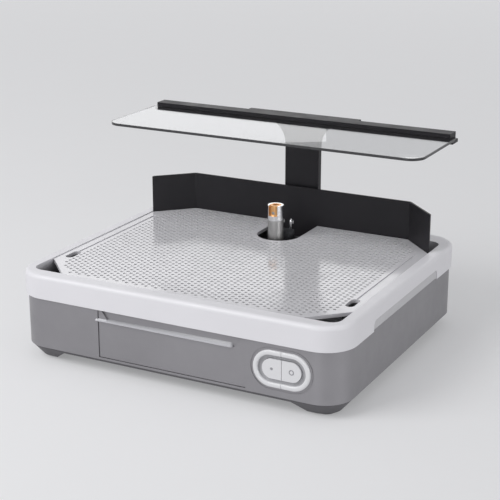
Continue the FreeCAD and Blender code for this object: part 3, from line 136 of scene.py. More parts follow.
def seen_directly(tree, seen, unseen):
    """A number that is seen where the eye, a mirrored ray or a ray through the clear sheet meets
    the surface, and unseen where only soft light does: it goes from unseen to seen with the sum
    of the three ray kinds."""
    path = tree.nodes.new("ShaderNodeLightPath")
    rays = path.outputs["Is Camera Ray"]
    for kind in ("Is Glossy Ray", "Is Transmission Ray"):
        total = tree.nodes.new("ShaderNodeMath")
        total.operation, total.use_clamp = "ADD", True
        tree.links.new(rays, total.inputs[0])
        tree.links.new(path.outputs[kind], total.inputs[1])
        rays = total.outputs["Value"]
    return map_range(tree, rays, 0.0, 1.0, unseen, seen)


PAPER_TINT = (0.965, 0.97, 0.985, 1)
SKY_SEEN, SKY_LIGHT = 0.76, 0.44
world = bpy.data.worlds.new("pale_studio")
world.use_nodes = True
sky = world.node_tree.nodes["Background"]
sky.inputs["Color"].default_value = PAPER_TINT
world.node_tree.links.new(seen_directly(world.node_tree, SKY_SEEN, SKY_LIGHT), sky.inputs["Strength"])
scene.world = world
print("world", world.name, "seen at", SKY_SEEN, "and lighting at", SKY_LIGHT)

# %% [markdown]
# A collection that leaves it out is all that light linking needs, on each of
# the low lamps.

# %% floor
REACH = 12
floor_mesh = bpy.data.meshes.new("studio_floor")
floor_mesh.from_pydata(
    [(-REACH, -REACH, 0), (REACH, -REACH, 0), (REACH, REACH, 0), (-REACH, REACH, 0)], [], [(0, 1, 2, 3)]
)
floor = bpy.data.objects.new("studio_floor", floor_mesh)
scene.collection.objects.link(floor)

not_the_floor = bpy.data.collections.new("not_the_floor")
not_the_floor.objects.link(floor)
not_the_floor.collection_objects[0].light_linking.link_state = "EXCLUDE"
for lamp in low_lamps:
    lamp.light_linking.receiver_collection = not_the_floor
print("floor", 2 * REACH, "m wide, left out by", len(low_lamps), "lamps")

# %% [markdown]
# ## How a finish is built
# Every finish here is one Principled shader. What is the same all over the
# surface is set on its sockets; what varies, such as grain, haze or tool marks,
# comes from noise that reads Object coordinates. Those are metres on this
# frame, so a noise scale of 2000 means features about half a millimetre wide.


# %% pattern helpers
def begin(name, colour, rough, metal=0.0, **sockets):
    """A node material: returns it with its tree, its shader and its Object coordinates."""
    material = bpy.data.materials.new(name)
    material.use_nodes = True
    tree = material.node_tree
    shader = tree.nodes["Principled BSDF"]
    shader.inputs["Base Color"].default_value = (*colour, 1)
    shader.inputs["Roughness"].default_value = rough
    shader.inputs["Metallic"].default_value = metal
    for socket, value in sockets.items():
        shader.inputs[socket.replace("_", " ")].default_value = value
    place = tree.nodes.new("ShaderNodeTexCoord").outputs["Object"]
    return material, tree, shader, place


def stretch(tree, place, scale=(1, 1, 1), turn=(0, 0, 0), move=(0, 0, 0)):
    """Object coordinates moved, turned and stretched, so that a pattern runs one way."""
    node = tree.nodes.new("ShaderNodeMapping")
    node.inputs["Scale"].default_value = scale
    node.inputs["Rotation"].default_value = turn
    node.inputs["Location"].default_value = move
    tree.links.new(place, node.inputs["Vector"])
    return node.outputs["Vector"]


def noise(tree, place, scale, detail=2.0, rough=0.5):
    """Soft cloudy noise with scale features to the metre."""
    node = tree.nodes.new("ShaderNodeTexNoise")
    node.inputs["Scale"].default_value = scale
    node.inputs["Detail"].default_value = detail
    node.inputs["Roughness"].default_value = rough
    tree.links.new(place, node.inputs["Vector"])
    return node.outputs["Fac"]


def cells(tree, place, scale, feature="F1"):
    """Cell noise: the distance to the nearest of scale scattered points to the metre."""
    node = tree.nodes.new("ShaderNodeTexVoronoi")
    node.feature = feature
    node.inputs["Scale"].default_value = scale
    tree.links.new(place, node.inputs["Vector"])
    return node.outputs["Distance"]


print("pattern helpers are ready")

# %% [markdown]
# A pattern becomes a finish in two ways: it varies a socket of the shader, by a
# colour ramp, or it is felt as height, by a bump. True displacement would need
# millions of faces for grain as fine as this.


# %% colour and bump helpers
def ramp(tree, factor, low, high, start, end):
    """Colours or grey values from low to high as factor goes from start to end."""
    node = tree.nodes.new("ShaderNodeValToRGB")
    pair = [(v, v, v) if isinstance(v, (int, float)) else v for v in (low, high)]
    for element, where, value in zip(node.color_ramp.elements, (start, end), pair):
        element.position = where
        element.color = (*value, 1)
    tree.links.new(factor, node.inputs["Fac"])
    return node.outputs["Color"]


def vary(tree, shader, socket, factor, low, high, start, end):
    """The shader's socket goes from low to high as factor goes from start to end."""
    tree.links.new(ramp(tree, factor, low, high, start, end), shader.inputs[socket])


def bump(tree, shader, height, depth, strength=1.0):
    """Adds a bump of that depth in metres, on top of any bump made before."""
    node = tree.nodes.new("ShaderNodeBump")
    node.inputs["Distance"].default_value = depth
    node.inputs["Strength"].default_value = strength
    tree.links.new(height, node.inputs["Height"])
    before = shader.inputs["Normal"].links
    if before:
        tree.links.new(before[0].from_socket, node.inputs["Normal"])
    tree.links.new(node.outputs["Normal"], shader.inputs["Normal"])


def shade(colour, by):
    """The colour made lighter or darker by that factor."""
    return tuple(min(1.0, c * by) for c in colour)


print("colour and bump helpers are ready")

# %% [markdown]
# Some finishes change from place to place on a piece: painted shade greys a
# trough and a well. Painted vertex colours would need a finer mesh there. A
# place along an axis, read from the same Object coordinates, needs none.


# %% helpers for places
def depth_along(tree, place, axis, low, high):
    """0 at low and 1 at high along the X, Y or Z axis, in metres."""
    split = tree.nodes.new("ShaderNodeSeparateXYZ")
    tree.links.new(place, split.inputs["Vector"])
    return map_range(tree, split.outputs[axis], low, high)


def darken(tree, shader, amount, colour):
    """Blends the shader's colour towards another by an amount between 0 and 1. A Mix node has
    sockets for every kind of data: 6 and 7 are its two colours, and output 2 their blend."""
    node = tree.nodes.new("ShaderNodeMix")
    node.data_type = "RGBA"
    before = shader.inputs["Base Color"].links[0].from_socket
    tree.links.new(amount, node.inputs[0])
    tree.links.new(before, node.inputs[6])
    node.inputs[7].default_value = (*colour, 1)
    tree.links.new(node.outputs[2], shader.inputs["Base Color"])


def product(tree, one, other):
    """Two numbers multiplied."""
    node = tree.nodes.new("ShaderNodeMath")
    node.operation = "MULTIPLY"
    tree.links.new(one, node.inputs[0])
    tree.links.new(other, node.inputs[1])
    return node.outputs["Value"]


def between(tree, place, axis, low, high, soft):
    """1 between low and high along an axis, falling to 0 over soft metres outside them."""
    rise = depth_along(tree, place, axis, low - soft, low)
    return product(tree, rise, depth_along(tree, place, axis, high + soft, high))


def parts_of(material):
    """A finished material's tree, shader and Object coordinates, to build on."""
    tree = material.node_tree
    place = next(n for n in tree.nodes if n.type == "TEX_COORD").outputs["Object"]
    return tree, tree.nodes["Principled BSDF"], place


print("helpers for places are ready")

# %% [markdown]
# ## Moulded plastics
# The housing, the tray, the guard and the base are injection mouldings. A mould
# is eroded or polished, and its skin prints off: a fine pebble grain on the
# satin parts, next to none on the glossy ones. A photographed texture would do
# the same, but noise has no seams and stays sharp however near one looks.


# %% moulded finishes
def moulding(name, colour, rough, grain, depth, cloud=0.05, gloss=0.5, coat=0.0, flake=0.0):
    """Moulded plastic: pebble grain of that pitch and depth in metres, and a slow cloud of
    lighter and darker, duller and shinier patches, as handling leaves on a moulding.
    flake is the share of metal flake in the plastic."""
    material, tree, shader, place = begin(name, colour, rough, flake, Specular_IOR_Level=gloss)
    shader.inputs["Coat Weight"].default_value = coat
    shader.inputs["Coat Roughness"].default_value = 0.08
    slow = noise(tree, place, 14, 4, 0.6)
    vary(tree, shader, "Base Color", slow, shade(colour, 1 - cloud), shade(colour, 1 + cloud), 0.3, 0.7)
    haze = noise(tree, stretch(tree, place, move=(3, 1, 2)), 45, 5, 0.65)
    vary(tree, shader, "Roughness", haze, rough - 0.06, rough + 0.07, 0.3, 0.7)
    bump(tree, shader, noise(tree, place, 1 / grain, 2, 0.5), depth)
    return material


HOUSING_GREY = (0.305, 0.298, 0.314)
PLATE_WHITE = ((0.70, 0.692, 0.722), 0.13, 0.0016, 0.4e-5, 0.02)
FINISH = {
    "housing_grey": moulding("silver_grey_housing", HOUSING_GREY, 0.40, 0.0007, 2.5e-5, flake=0.7),
    "tray_white": moulding("white_tray", (0.80, 0.792, 0.825), 0.40, 0.0014, 1.0e-5, 0.015, 0.40),
    "plate_white": moulding("white_plate", *PLATE_WHITE),
    "black_plastic": moulding("black_guard", (0.020, 0.019, 0.022), 0.46, 0.0006, 3.0e-5, 0.12, 0.22),
    "base_grey": moulding("dark_base", (0.115, 0.112, 0.122), 0.50, 0.0008, 4.0e-5, 0.06),
    # The pull's grey is paler than the housing's: a painted highlight for the light that its curve
    # catches.
    "lip_grey": moulding("pale_pull_lip", (0.60, 0.60, 0.63), 0.30, 0.0010, 1.2e-5, 0.02),
    "switch_white": moulding("gloss_switch", (0.77, 0.77, 0.79), 0.20, 0.0020, 0.6e-5, 0.01, 0.5, 0.35),
    "black_case": moulding("black_case", (0.030, 0.030, 0.031), 0.34, 0.0008, 2.0e-5, 0.10),
    "diffuser_white": moulding("milky_strip", (0.86, 0.86, 0.86), 0.28, 0.0012, 0.8e-5, 0.01),
}
print(len(FINISH), "moulded finishes")

# %% [markdown]
# ## Rubber, foam and seals
# Rubber is matt because its skin is full of tiny pits, and dust settles in them
# as a pale bloom. The sponge is open foam: pores the size of a pin's head in a
# dark body that stays damp. Cell noise draws both, pits and pores.


# %% rubber and foam
def rubber(name, colour, pit):
    """Matt rubber: pits of that pitch in metres, and a pale dusty bloom in slow patches."""
    material, tree, shader, place = begin(name, colour, 0.78, Specular_IOR_Level=0.3)
    bloom = noise(tree, place, 90, 5, 0.7)
    vary(tree, shader, "Base Color", bloom, colour, shade(colour, 1.8), 0.45, 0.75)
    vary(tree, shader, "Roughness", bloom, 0.68, 0.86, 0.3, 0.7)
    bump(tree, shader, cells(tree, place, 1 / pit), 5e-5, 0.7)
    return material


def foam(name, colour):
    """Open foam: every pore has a dark bottom, painted shade, and a lighter rim, painted highlight, in
    two sizes.
    """
    material, tree, shader, place = begin(name, colour, 0.92, Specular_IOR_Level=0.2)
    pores = cells(tree, place, 900)
    vary(tree, shader, "Base Color", pores, shade(colour, 0.35), shade(colour, 1.7), 0.05, 0.6)
    bump(tree, shader, pores, 4e-4, 0.8)
    bump(tree, shader, noise(tree, place, 2600, 3), 1.5e-4, 0.6)
    return material


FINISH["foot_rubber"] = rubber("foot_rubber", (0.030, 0.030, 0.032), 0.0006)
FINISH["seal_rubber"] = rubber("nitrile_seal", (0.022, 0.022, 0.022), 0.0004)
FINISH["foam"] = foam("open_foam", (0.040, 0.041, 0.045))
print("rubber and foam finishes")

# %% [markdown]
# ## Metals
# Turned steel carries fine rings from the lathe, plated steel mirrors the room
# through faint haze, copper tarnishes in patches, and the grinding sleeve is
# diamond grit held in nickel. Rings are noise drawn out round the axis and the
# grit is cell noise. Both are in the bump, so they glint as the light moves.


# %% metal finishes
def metal(name, colour, rough, marks, depth, along=(1, 1, 1), tarnish=0.1):
    """Bare metal: tool marks of that pitch in metres, drawn out along an axis by the stretch,
    with tarnish that darkens and dulls it in patches."""
    material, tree, shader, place = begin(name, colour, rough, 1.0)
    patch = noise(tree, place, 120, 5, 0.65)
    dull, clean = shade(colour, 1 - tarnish), shade(colour, 1 + tarnish * 0.4)
    vary(tree, shader, "Base Color", patch, dull, clean, 0.3, 0.7)
    vary(tree, shader, "Roughness", patch, rough + 0.09, rough - 0.04, 0.3, 0.7)
    bump(tree, shader, noise(tree, stretch(tree, place, along), 1 / marks, 3, 0.6), depth)
    return material


def diamond_grit(name):
    """Diamond grit in nickel: sharp grains of 0.25 mm stand out of a silvery metal."""
    colour = (0.50, 0.495, 0.49)
    material, tree, shader, place = begin(name, colour, 0.36, 0.9)
    grains = cells(tree, place, 3800)
    vary(tree, shader, "Base Color", grains, shade(colour, 1.45), shade(colour, 0.7), 0.1, 0.6)
    vary(tree, shader, "Roughness", grains, 0.20, 0.36, 0.1, 0.6)
    bump(tree, shader, grains, -6e-5, 0.5)
    return material


METALS = {
    "plated_steel": metal("bright_plating", (0.92, 0.92, 0.93), 0.20, 0.0012, 0.8e-5, (1, 1, 0.3), 0.05),
    "motor_steel": metal("turned_steel", (0.46, 0.46, 0.47), 0.34, 0.0006, 1.5e-5, (0.15, 0.15, 1.6)),
    "copper": metal("bare_copper", (0.82, 0.45, 0.19), 0.30, 0.0009, 1.2e-5, (0.3, 0.3, 1.5), 0.12),
    "brass": metal("bare_brass", (0.72, 0.56, 0.27), 0.28, 0.0008, 1.2e-5, (0.4, 0.4, 1.2), 0.12),
    "grit": diamond_grit("diamond_grit"),
}
FINISH.update(METALS)
print("metal finishes:", list(METALS))

# %% [markdown]
# ## The clear sheet, its edge and the light bar's board
# The eye shield is clear acrylic: it bends light, mirrors the room at a low
# angle and collects faint wipe marks. Alpha blending would be quicker, but it
# mirrors nothing. The board under the light bar has a green mask with copper
# showing through, and each lamp chip a yellow window.


# %% clear and electric finishes
def clear_sheet(name):
    """Clear acrylic with wipe marks: streaks along the sheet that dull the polish a little."""
    material, tree, shader, place = begin(
        name, (0.68, 0.685, 0.695), 0.02, Transmission_Weight=1.0, IOR=1.49
    )
    wipes = noise(tree, stretch(tree, place, (1, 6, 1), (0, 0, 0.5)), 22, 5, 0.7)
    vary(tree, shader, "Roughness", wipes, 0.005, 0.05, 0.45, 0.8)
    return material


def circuit_board(name):
    """Green mask over copper lines: square cells leave tracks, and the tracks stand up a little."""
    material, tree, shader, place = begin(name, (0.03, 0.15, 0.07), 0.30)
    tracks = cells(tree, stretch(tree, place, (1, 1, 0.1)), 320, "DISTANCE_TO_EDGE")
    vary(tree, shader, "Base Color", tracks, (0.06, 0.24, 0.11), (0.02, 0.11, 0.05), 0.05, 0.12)
    bump(tree, shader, tracks, -4e-5, 0.5)
    return material


FINISH["clear_sheet"] = clear_sheet("clear_acrylic")
FINISH["dark_edge"] = moulding("dark_sheet_edge", (0.035, 0.035, 0.038), 0.25, 0.0010, 1e-5, 0.10)
FINISH["board_green"] = circuit_board("board_mask")
FINISH["led_yellow"] = moulding("phosphor_window", (0.80, 0.66, 0.20), 0.30, 0.0004, 1e-5, 0.08)
print("clear sheet and board finishes")

# %% [markdown]
# ## Painted shade in the well and the recesses
# White plastic isn't white all over where shade falls. The tray's well, the trough
# round the switch's keys and the back of the drawer's pull are painted greyer,
# as shade. Each is a blend towards grey by place, on top of the finish that is
# already there, so the moulded grain stays.


# %% painted shade by place
def painted_shade_by_depth(finish, front, back, colour):
    """The finish goes over to that colour between two depths along Y: painted shade, greyer deeper in a
    recess.
    """
    tree, shader, place = parts_of(FINISH[finish])
    darken(tree, shader, depth_along(tree, place, "Y", front, back), colour)


WELL_SIDE, WELL_FRONT, WELL_REAR = 0.1892, -0.1582, 0.1462
WELL_FLOOR, RIM_TOP = 0.0482, 0.1100
WELL_SHADE_STARTS, WELL_SHADE_FULL = 0.1005, 0.0880
CORNER_FRONT, CORNER_REAR = 0.2408, 0.2323


def painted_well_shade():
    """Painted shade on the tray's white in its well: 1 inside the well's four walls, and
    inside its round corners by the same test on axes turned by 45 degrees, darker further down."""
    tree, shader, place = parts_of(FINISH["tray_white"])
    turned = stretch(tree, place, turn=(0, 0, math.pi / 4))
    painted_shade = depth_along(tree, place, "Z", WELL_SHADE_STARTS, WELL_SHADE_FULL)
    for where, axis, low, high in (
        (place, "X", -WELL_SIDE, WELL_SIDE),
        (place, "Y", WELL_FRONT, WELL_REAR),
        (turned, "X", -CORNER_REAR, CORNER_FRONT),
        (turned, "Y", -CORNER_FRONT, CORNER_REAR),
        (place, "Z", WELL_FLOOR, RIM_TOP),
    ):
        painted_shade = product(tree, painted_shade, between(tree, where, axis, low, high, 0.001))
    darken(tree, shader, painted_shade, (0.22, 0.22, 0.226))


# Painted shade: the well, the trough round the keys and the back of the pull are darkened by place,
# where shade falls.
painted_well_shade()
painted_shade_by_depth("switch_white", -0.1733, -0.1705, (0.33, 0.33, 0.35))
painted_shade_by_depth("lip_grey", -0.1728, -0.1695, (0.30, 0.30, 0.315))
print("film in the well, shade round the keys and behind the pull")

# %% [markdown]
# ## Every solid takes its finish
# The record lists which slot each solid belongs to. Looping over that list keeps
# the finishes in step with the CAD, and no solid is forgotten.

# %% finishes onto the solids
slot_of = {part["node"]: part["material_slot"] for part in frame["record"]["subparts"]}
for node, solid in frame["nodes"].items():
    solid.data.materials.clear()
    solid.data.materials.append(FINISH[slot_of[node]])
print(len(slot_of), "solids finished")

# %% [markdown]
# ## The floor's finish
# The lamps fade with distance, and the floor would darken towards the horizon
# and end there in a line. A curved backdrop would hide that from one side only.
# A faint glow that grows with the distance from the machine hides it all round.

# %% floor finish
NEAR, FAR, GLOW, FAR_SHARE = 0.7, 5.0, 0.29, 1.62
paper = moulding("pale_floor", (0.60, 0.60, 0.61), 0.85, 0.004, 1e-5, 0.004, 0.1)
tree, shader, place = parts_of(paper)
shader.inputs["Emission Color"].default_value = PAPER_TINT
away = tree.nodes.new("ShaderNodeVectorMath")
away.operation = "LENGTH"
tree.links.new(place, away.inputs[0])
grown = map_range(tree, away.outputs["Value"], NEAR, FAR, 1.0, FAR_SHARE)
glow = product(tree, seen_directly(tree, GLOW, 0.0), grown)
tree.links.new(glow, shader.inputs["Emission Strength"])
floor_mesh.materials.append(paper)
print("floor finish", paper.name)

# %% [markdown]
# ## Making a piece from arrays
# A new piece is a set of points and faces that numpy works out as whole arrays.
# Primitives and boolean cuts would also do for some, yet the arrays keep every
# formula in view and give clean faces. Most surfaces here are grids that close
# on themselves, so their faces follow from the grid's size alone.


# %% grid helpers
def grid_faces(rows, columns):
    """Quads between neighbouring points of a grid whose last column joins its first."""
    row, column = np.meshgrid(np.arange(rows - 1), np.arange(columns), indexing="ij")
    a = row * columns + column
    b = row * columns + (column + 1) % columns
    return np.stack([a, b, b + columns, a + columns], -1).reshape(-1, 4)


def end_fans(rows, around):
    """Triangles that close a grid's first and last row, each to a point that follows the grid's."""
    fan = np.arange(around)
    nxt = (fan + 1) % around
    last = (rows - 1) * around
    first_fan = np.column_stack([nxt, fan, np.full(around, rows * around)])
    last_fan = np.column_stack([last + fan, last + nxt, np.full(around, rows * around + 1)])
    return np.vstack([first_fan, last_fan])


def square_to(axis):
    """The axis, with two directions square to it and to each other."""
    axis = np.asarray(axis, float)
    across = np.cross(axis, (0, 0, 1)) if abs(axis[2]) < 0.9 else np.array([1.0, 0, 0])
    return axis, across, np.cross(axis, across)


print("grid helpers are ready")

# %% [markdown]
# A finished piece sits at the origin with its place in its mesh, as the solids
# do. The helper turns it right side out, gives it its finish, ties it to the
# body that it moves with and hides the solid that it stands for.


# %% piece helpers
def face_outwards(mesh, points):
    """Turns the mesh inside out if its volume is negative: the sum of a . (b x c) over all triangles."""
    mesh.calc_loop_triangles()
    corners = np.empty(len(mesh.loop_triangles) * 3, np.int32)
    mesh.loop_triangles.foreach_get("vertices", corners)
    a, b, c = (points - points.mean(0))[corners.reshape(-1, 3)].transpose(1, 0, 2)
    if (a * np.cross(b, c)).sum() < 0:
        mesh.flip_normals()


def make_piece(name, points, faces, body, slot, instead_of=(), sharp=50, finish=None, **marks):
    """A mesh piece from points and faces, smooth except at edges sharper than sharp degrees. It
    wears the finish named, or else its slot's. Each mark is a number for every point, which a
    finish can read by its name."""
    mesh = bpy.data.meshes.new(name)
    mesh.from_pydata(points.tolist(), [], faces)
    face_outwards(mesh, points)
    for mark, values in marks.items():
        data = mesh.attributes.new(mark, "FLOAT", "POINT").data
        data.foreach_set("value", np.asarray(values, np.float32))
    mesh.validate()
    mesh.shade_smooth()
    mesh.set_sharp_from_angle(angle=math.radians(sharp))
    mesh.materials.append(FINISH[finish or slot])
    piece = bpy.data.objects.new(name, mesh)
    scene.collection.objects.link(piece)
    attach(piece, body)
    if instead_of:
        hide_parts(*instead_of)
    print(name, len(points), "points", len(faces), "faces")
    return piece


print("piece helpers are ready")

# %% [markdown]
# ## The perforated work surface
# Glass is slid about on a white plate drilled all over, so that the cooling
# water runs back into the tray. Two thousand boolean cuts would be slow. The
# holes sit in staggered columns, so each gets a tile of its own: an outer ring
# of eight points that neighbours share, and an eight-sided hole with a rounded
# rim. Only the plain border round the tiles needs a triangulation.

# %% hole tiles
low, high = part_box("work_surface")
PLATE_TOP, PLATE_UNDER = high.z, low.z
ALONG, HOLE, RIM = 0.0072, 0.0020, 0.0002
ACROSS = ALONG * math.sqrt(3) / 2
CLIP = 0.041
NOTCH_R, NOTCH_Y = 0.027, 0.090
FRONT_GAP, REAR_GAP, CORNER_GAP, NOTCH_GAP = 0.009, 0.0055, 0.011, 0.0062

column, row = np.meshgrid(np.arange(-27, 28), np.arange(-40, 41), indexing="ij")
step = 2 * row + column % 2
hole_x, hole_y = column * ACROSS, step * ALONG / 2
corner = (high.x - abs(hole_x)) + np.minimum(high.y - hole_y, hole_y - low.y) - CLIP
notch = np.hypot(hole_x, np.minimum(hole_y - NOTCH_Y, 0)) - NOTCH_R
kept = (hole_y > low.y + FRONT_GAP) & (hole_y < high.y - REAR_GAP)
kept &= (corner > CORNER_GAP) & (notch > NOTCH_GAP)
column, step = column[kept], step[kept]
hole_x, hole_y = hole_x[kept], hole_y[kept]
print("holes:", len(hole_x))

# %% [markdown]
# A tile's outer points lie on a lattice of half steps, so a pair of whole numbers
# names each one, and equal pairs are the same point. That joins the tiles with
# no search for doubles. Going round a tile, the outer ring is: right middle,
# right rear corner, rear middle and so on, in step with the hole's eight points.


# %% perforated field
def perforated_field():
    """Points and faces of all tiles. A hole's rings lie at its centre plus radius times
    (cos, sin) of eight angles: rim and bore at the top, bore again underneath."""
    ring_c = np.array([1, 1, 0, -1, -1, -1, 0, 1])
    ring_s = np.array([0, 1, 1, 1, 0, -1, -1, -1])
    keys = np.stack([2 * column[:, None] + ring_c, step[:, None] + ring_s], -1)
    lattice, outer = np.unique(keys.reshape(-1, 2), axis=0, return_inverse=True)
    outer = outer.reshape(-1, 8)
    flat = lattice * (ACROSS / 2, ALONG / 2)
    turn = np.arange(8) * math.pi / 4
    centre = np.stack([hole_x, hole_y], -1)[:, None]
    unit = np.stack([np.cos(turn), np.sin(turn)], -1)
    levels = [(HOLE + RIM, PLATE_TOP), (HOLE, PLATE_TOP - RIM * 1.4), (HOLE, PLATE_UNDER)]
    rings = [
        np.dstack([centre + r * unit, np.full((len(outer), 8), z)]).reshape(-1, 3) for r, z in levels
    ]
    count, holes = len(flat), len(outer) * 8
    top = np.column_stack([flat, np.full(count, PLATE_TOP)])
    under = np.column_stack([flat, np.full(count, PLATE_UNDER)])
    inner = np.arange(holes).reshape(-1, 8)
    loops = [outer] + [2 * count + k * holes + inner for k in range(3)] + [count + outer]
    nxt = [np.roll(loop, -1, 1) for loop in loops]
    quads = [
        np.stack([a, a2, b2, b], -1).reshape(-1, 4)
        for a, a2, b, b2 in zip(loops, nxt, loops[1:], nxt[1:])
    ]
    edges = np.stack([outer, nxt[0]], -1).reshape(-1, 2)
    return np.vstack([top, under] + rings), np.vstack(quads), flat, edges


field_points, field_quads, field_flat, field_edges = perforated_field()
print("field:", len(field_points), "points", len(field_quads), "quads")

# %% [markdown]
# The border carries what the real plate has round the field: the clipped
# corners, the notch for the bit, a finger hole at each side and the shallow
# groove that runs back from it. A constrained Delaunay triangulation keeps all
# these outlines as edges, and triangles that fall in a hole are dropped.


# %% border outlines
def loop_edges(start, count):
    """Edges of a closed outline of count points that begin at start."""
    index = np.arange(count)
    return np.column_stack([start + index, start + (index + 1) % count])


arc = np.linspace(0, -math.pi, 25)
half = np.array([
    [high.x - CLIP, low.y],
    [high.x, low.y + CLIP],
    [high.x, high.y - CLIP],
    [high.x - CLIP, high.y],
])
plate_outline = np.vstack([
    half,
    [[NOTCH_R, high.y]],
    np.column_stack([NOTCH_R * np.cos(arc), NOTCH_Y + NOTCH_R * np.sin(arc)]),
    [[-NOTCH_R, high.y]],
    (half * (-1, 1))[::-1],
])
FINGER_X, FINGER_R, FINGER_Y = 0.1772, 0.0051, (-0.1000, -0.0854)
GROOVE_W, GROOVE_DEEP, GROOVE_END, GROOVE_GAP = 0.0015, 0.0010, 0.0885, 0.0004
bow = np.linspace(0, math.pi, 17)
finger = np.vstack([
    np.column_stack([FINGER_R * np.cos(bow), FINGER_Y[1] + FINGER_R * np.sin(bow)]),
    np.column_stack([-FINGER_R * np.cos(bow), FINGER_Y[0] - FINGER_R * np.sin(bow)]),
])
groove_start = FINGER_Y[1] + FINGER_R + GROOVE_GAP
groove = np.array([
    [-GROOVE_W, groove_start],
    [GROOVE_W, groove_start],
    [GROOVE_W, GROOVE_END],
    [-GROOVE_W, GROOVE_END],
])
print("outline", len(plate_outline), "points, finger hole", len(finger))

# %% [markdown]
# The triangulation fills everything, so each triangle's middle is tested: it has
# to lie in the plate, outside the finger holes and outside the drilled tiles.


# %% plate border
def inside(points, outline):
    """True where a point lies in a closed outline: a ray to its right crosses that an odd number
    of times."""
    a, b = outline, np.roll(outline, -1, 0)
    x, y = points[:, :1], points[:, 1:]
    spans = (a[:, 1] > y) != (b[:, 1] > y)
    rise = np.where(b[:, 1] == a[:, 1], 1, b[:, 1] - a[:, 1])
    cross = a[:, 0] + (y - a[:, 1]) * (b[:, 0] - a[:, 0]) / rise
    return (spans & (x < cross)).sum(1) % 2 == 1


def plate_border():
    """Top triangles of the border, and which of them are the groove's floor."""
    sides = [(-FINGER_X, 0), (FINGER_X, 0)]
    loops = [plate_outline] + [finger + s for s in sides] + [groove + s for s in sides]
    starts = np.cumsum([0] + [len(loop) for loop in loops])
    edges = [loop_edges(s, len(loop)) for s, loop in zip(starts, loops)]
    key = field_edges @ (len(field_flat), 1)
    rim = field_edges[~np.isin(field_edges @ (1, len(field_flat)), key)]
    used, index = np.unique(rim, return_inverse=True)
    points = np.vstack(loops + [field_flat[used]])
    edges = np.vstack(edges + [starts[-1] + index.reshape(-1, 2)])
    made = delaunay_2d_cdt([Vector(p) for p in points.tolist()], edges.tolist(), [], 0, 1e-7)
    flat, tris = np.array([tuple(p) for p in made[0]]), np.array(made[2])
    middle = flat[tris].mean(1)
    near = np.abs(middle[:, :1] - hole_x) < ACROSS / 2 + 1e-6
    near &= np.abs(middle[:, 1:] - hole_y) < ALONG / 2 + 1e-6
    keep = inside(middle, plate_outline) & ~near.any(1)
    sunk = np.zeros(len(tris), bool)
    for s in sides:
        keep &= ~inside(middle, finger + s)
        sunk |= inside(middle, groove + s)
    return flat, tris[keep], sunk[keep]


border_flat, border_tris, border_sunk = plate_border()
print("border:", len(border_tris), "triangles,", int(border_sunk.sum()), "in the grooves")

# %% [markdown]
# Field and border are welded by their places, and wherever a top face has no
# neighbour a wall goes straight down to the underside. The same test with the
# groove's floor gives the groove's short walls.


# %% weld field and border
def plate_walls(size, top_edges, sunk_edges):
    """Edges with no face on their other side: the outer ones and those along the groove. An edge
    is named by one number, its start times size plus its end."""
    key = top_edges[:, 0] * size + top_edges[:, 1]
    back = top_edges[:, 1] * size + top_edges[:, 0]
    sunk_key = sunk_edges[:, 0] * size + sunk_edges[:, 1]
    open_edge = ~np.isin(back, key)
    at_groove = open_edge & np.isin(back, sunk_key)
    return top_edges[open_edge & ~at_groove], top_edges[at_groove]


def all_edges(tris):
    """The three directed edges of every triangle."""
    return np.vstack([tris[:, [0, 1]], tris[:, [1, 2]], tris[:, [2, 0]]])


GRAIN = 1e-6
shared = np.round(np.vstack([field_flat, border_flat]) / GRAIN).astype(np.int64)
places, weld = np.unique(shared, axis=0, return_inverse=True)
weld = weld.reshape(-1)
field_weld = weld[:len(field_flat)]
tris = weld[len(field_flat) + border_tris]
edge = places[tris].astype(float)
turned = np.cross(edge[:, 1] - edge[:, 0], edge[:, 2] - edge[:, 0]) < 0
tris[turned] = tris[turned][:, ::-1]
level_tris, sunk_tris = tris[~border_sunk], tris[border_sunk]
level_edges = np.vstack([field_weld[field_edges], all_edges(level_tris)])
outer_edges, groove_edges = plate_walls(len(places), level_edges, all_edges(sunk_tris))
print("welded to", len(places), "places, walls along", len(outer_edges), "edges")

# %% [markdown]
# The plate's points are three sheets, its top, its underside and the groove's
# floor, and then the holes' rings. Each ring gets a mark that says how far down
# in its hole it lies, and the finish turns the bores greyer by that mark, because
# little light reaches them.

# %% plate
flat = places * GRAIN
heights = (PLATE_TOP, PLATE_UNDER, PLATE_TOP - GROOVE_DEEP)
sheets = [np.column_stack([flat, np.full(len(flat), z)]) for z in heights]
n = len(flat)
rings = field_points[2 * len(field_flat):]
lift = np.concatenate([field_weld, n + field_weld, 3 * n + np.arange(len(rings))])
wall = np.column_stack([outer_edges[:, ::-1], n + outer_edges])
groove_wall = np.column_stack([groove_edges[:, ::-1], 2 * n + groove_edges])
plate_faces = lift[field_quads].tolist() + wall.tolist() + groove_wall.tolist()
plate_faces += level_tris.tolist() + (2 * n + sunk_tris).tolist() + (n + tris[:, ::-1]).tolist()
used, packed = np.unique(np.concatenate([np.asarray(f) for f in plate_faces]), return_inverse=True)
sizes = np.cumsum([len(f) for f in plate_faces])[:-1]
plate_faces = [part.tolist() for part in np.split(packed, sizes)]
plate_points = np.vstack(sheets + [rings])[used]
bore = np.concatenate([np.zeros(3 * n), np.repeat([0.0, 0.6, 1.0], len(rings) // 3)])[used]

FINISH["drilled_white"] = moulding("drilled_white", *PLATE_WHITE)
tree, shader, place = parts_of(FINISH["drilled_white"])
in_bore = tree.nodes.new("ShaderNodeAttribute")
in_bore.attribute_name = "bore"
darken(tree, shader, in_bore.outputs["Fac"], (0.42, 0.42, 0.43))
make_piece(
    "perforated_plate", plate_points, plate_faces, "grid", "plate_white", ["work_surface"],
    finish="drilled_white", bore=bore,
)

# %% [markdown]
# ## The marks on the switch
# The on key carries a raised dot and the off key a raised ring. Both are turned
# shapes: a profile of radius and height carried once round. A circle with a
# solidify modifier would give square edges; the profile gives soft ones.


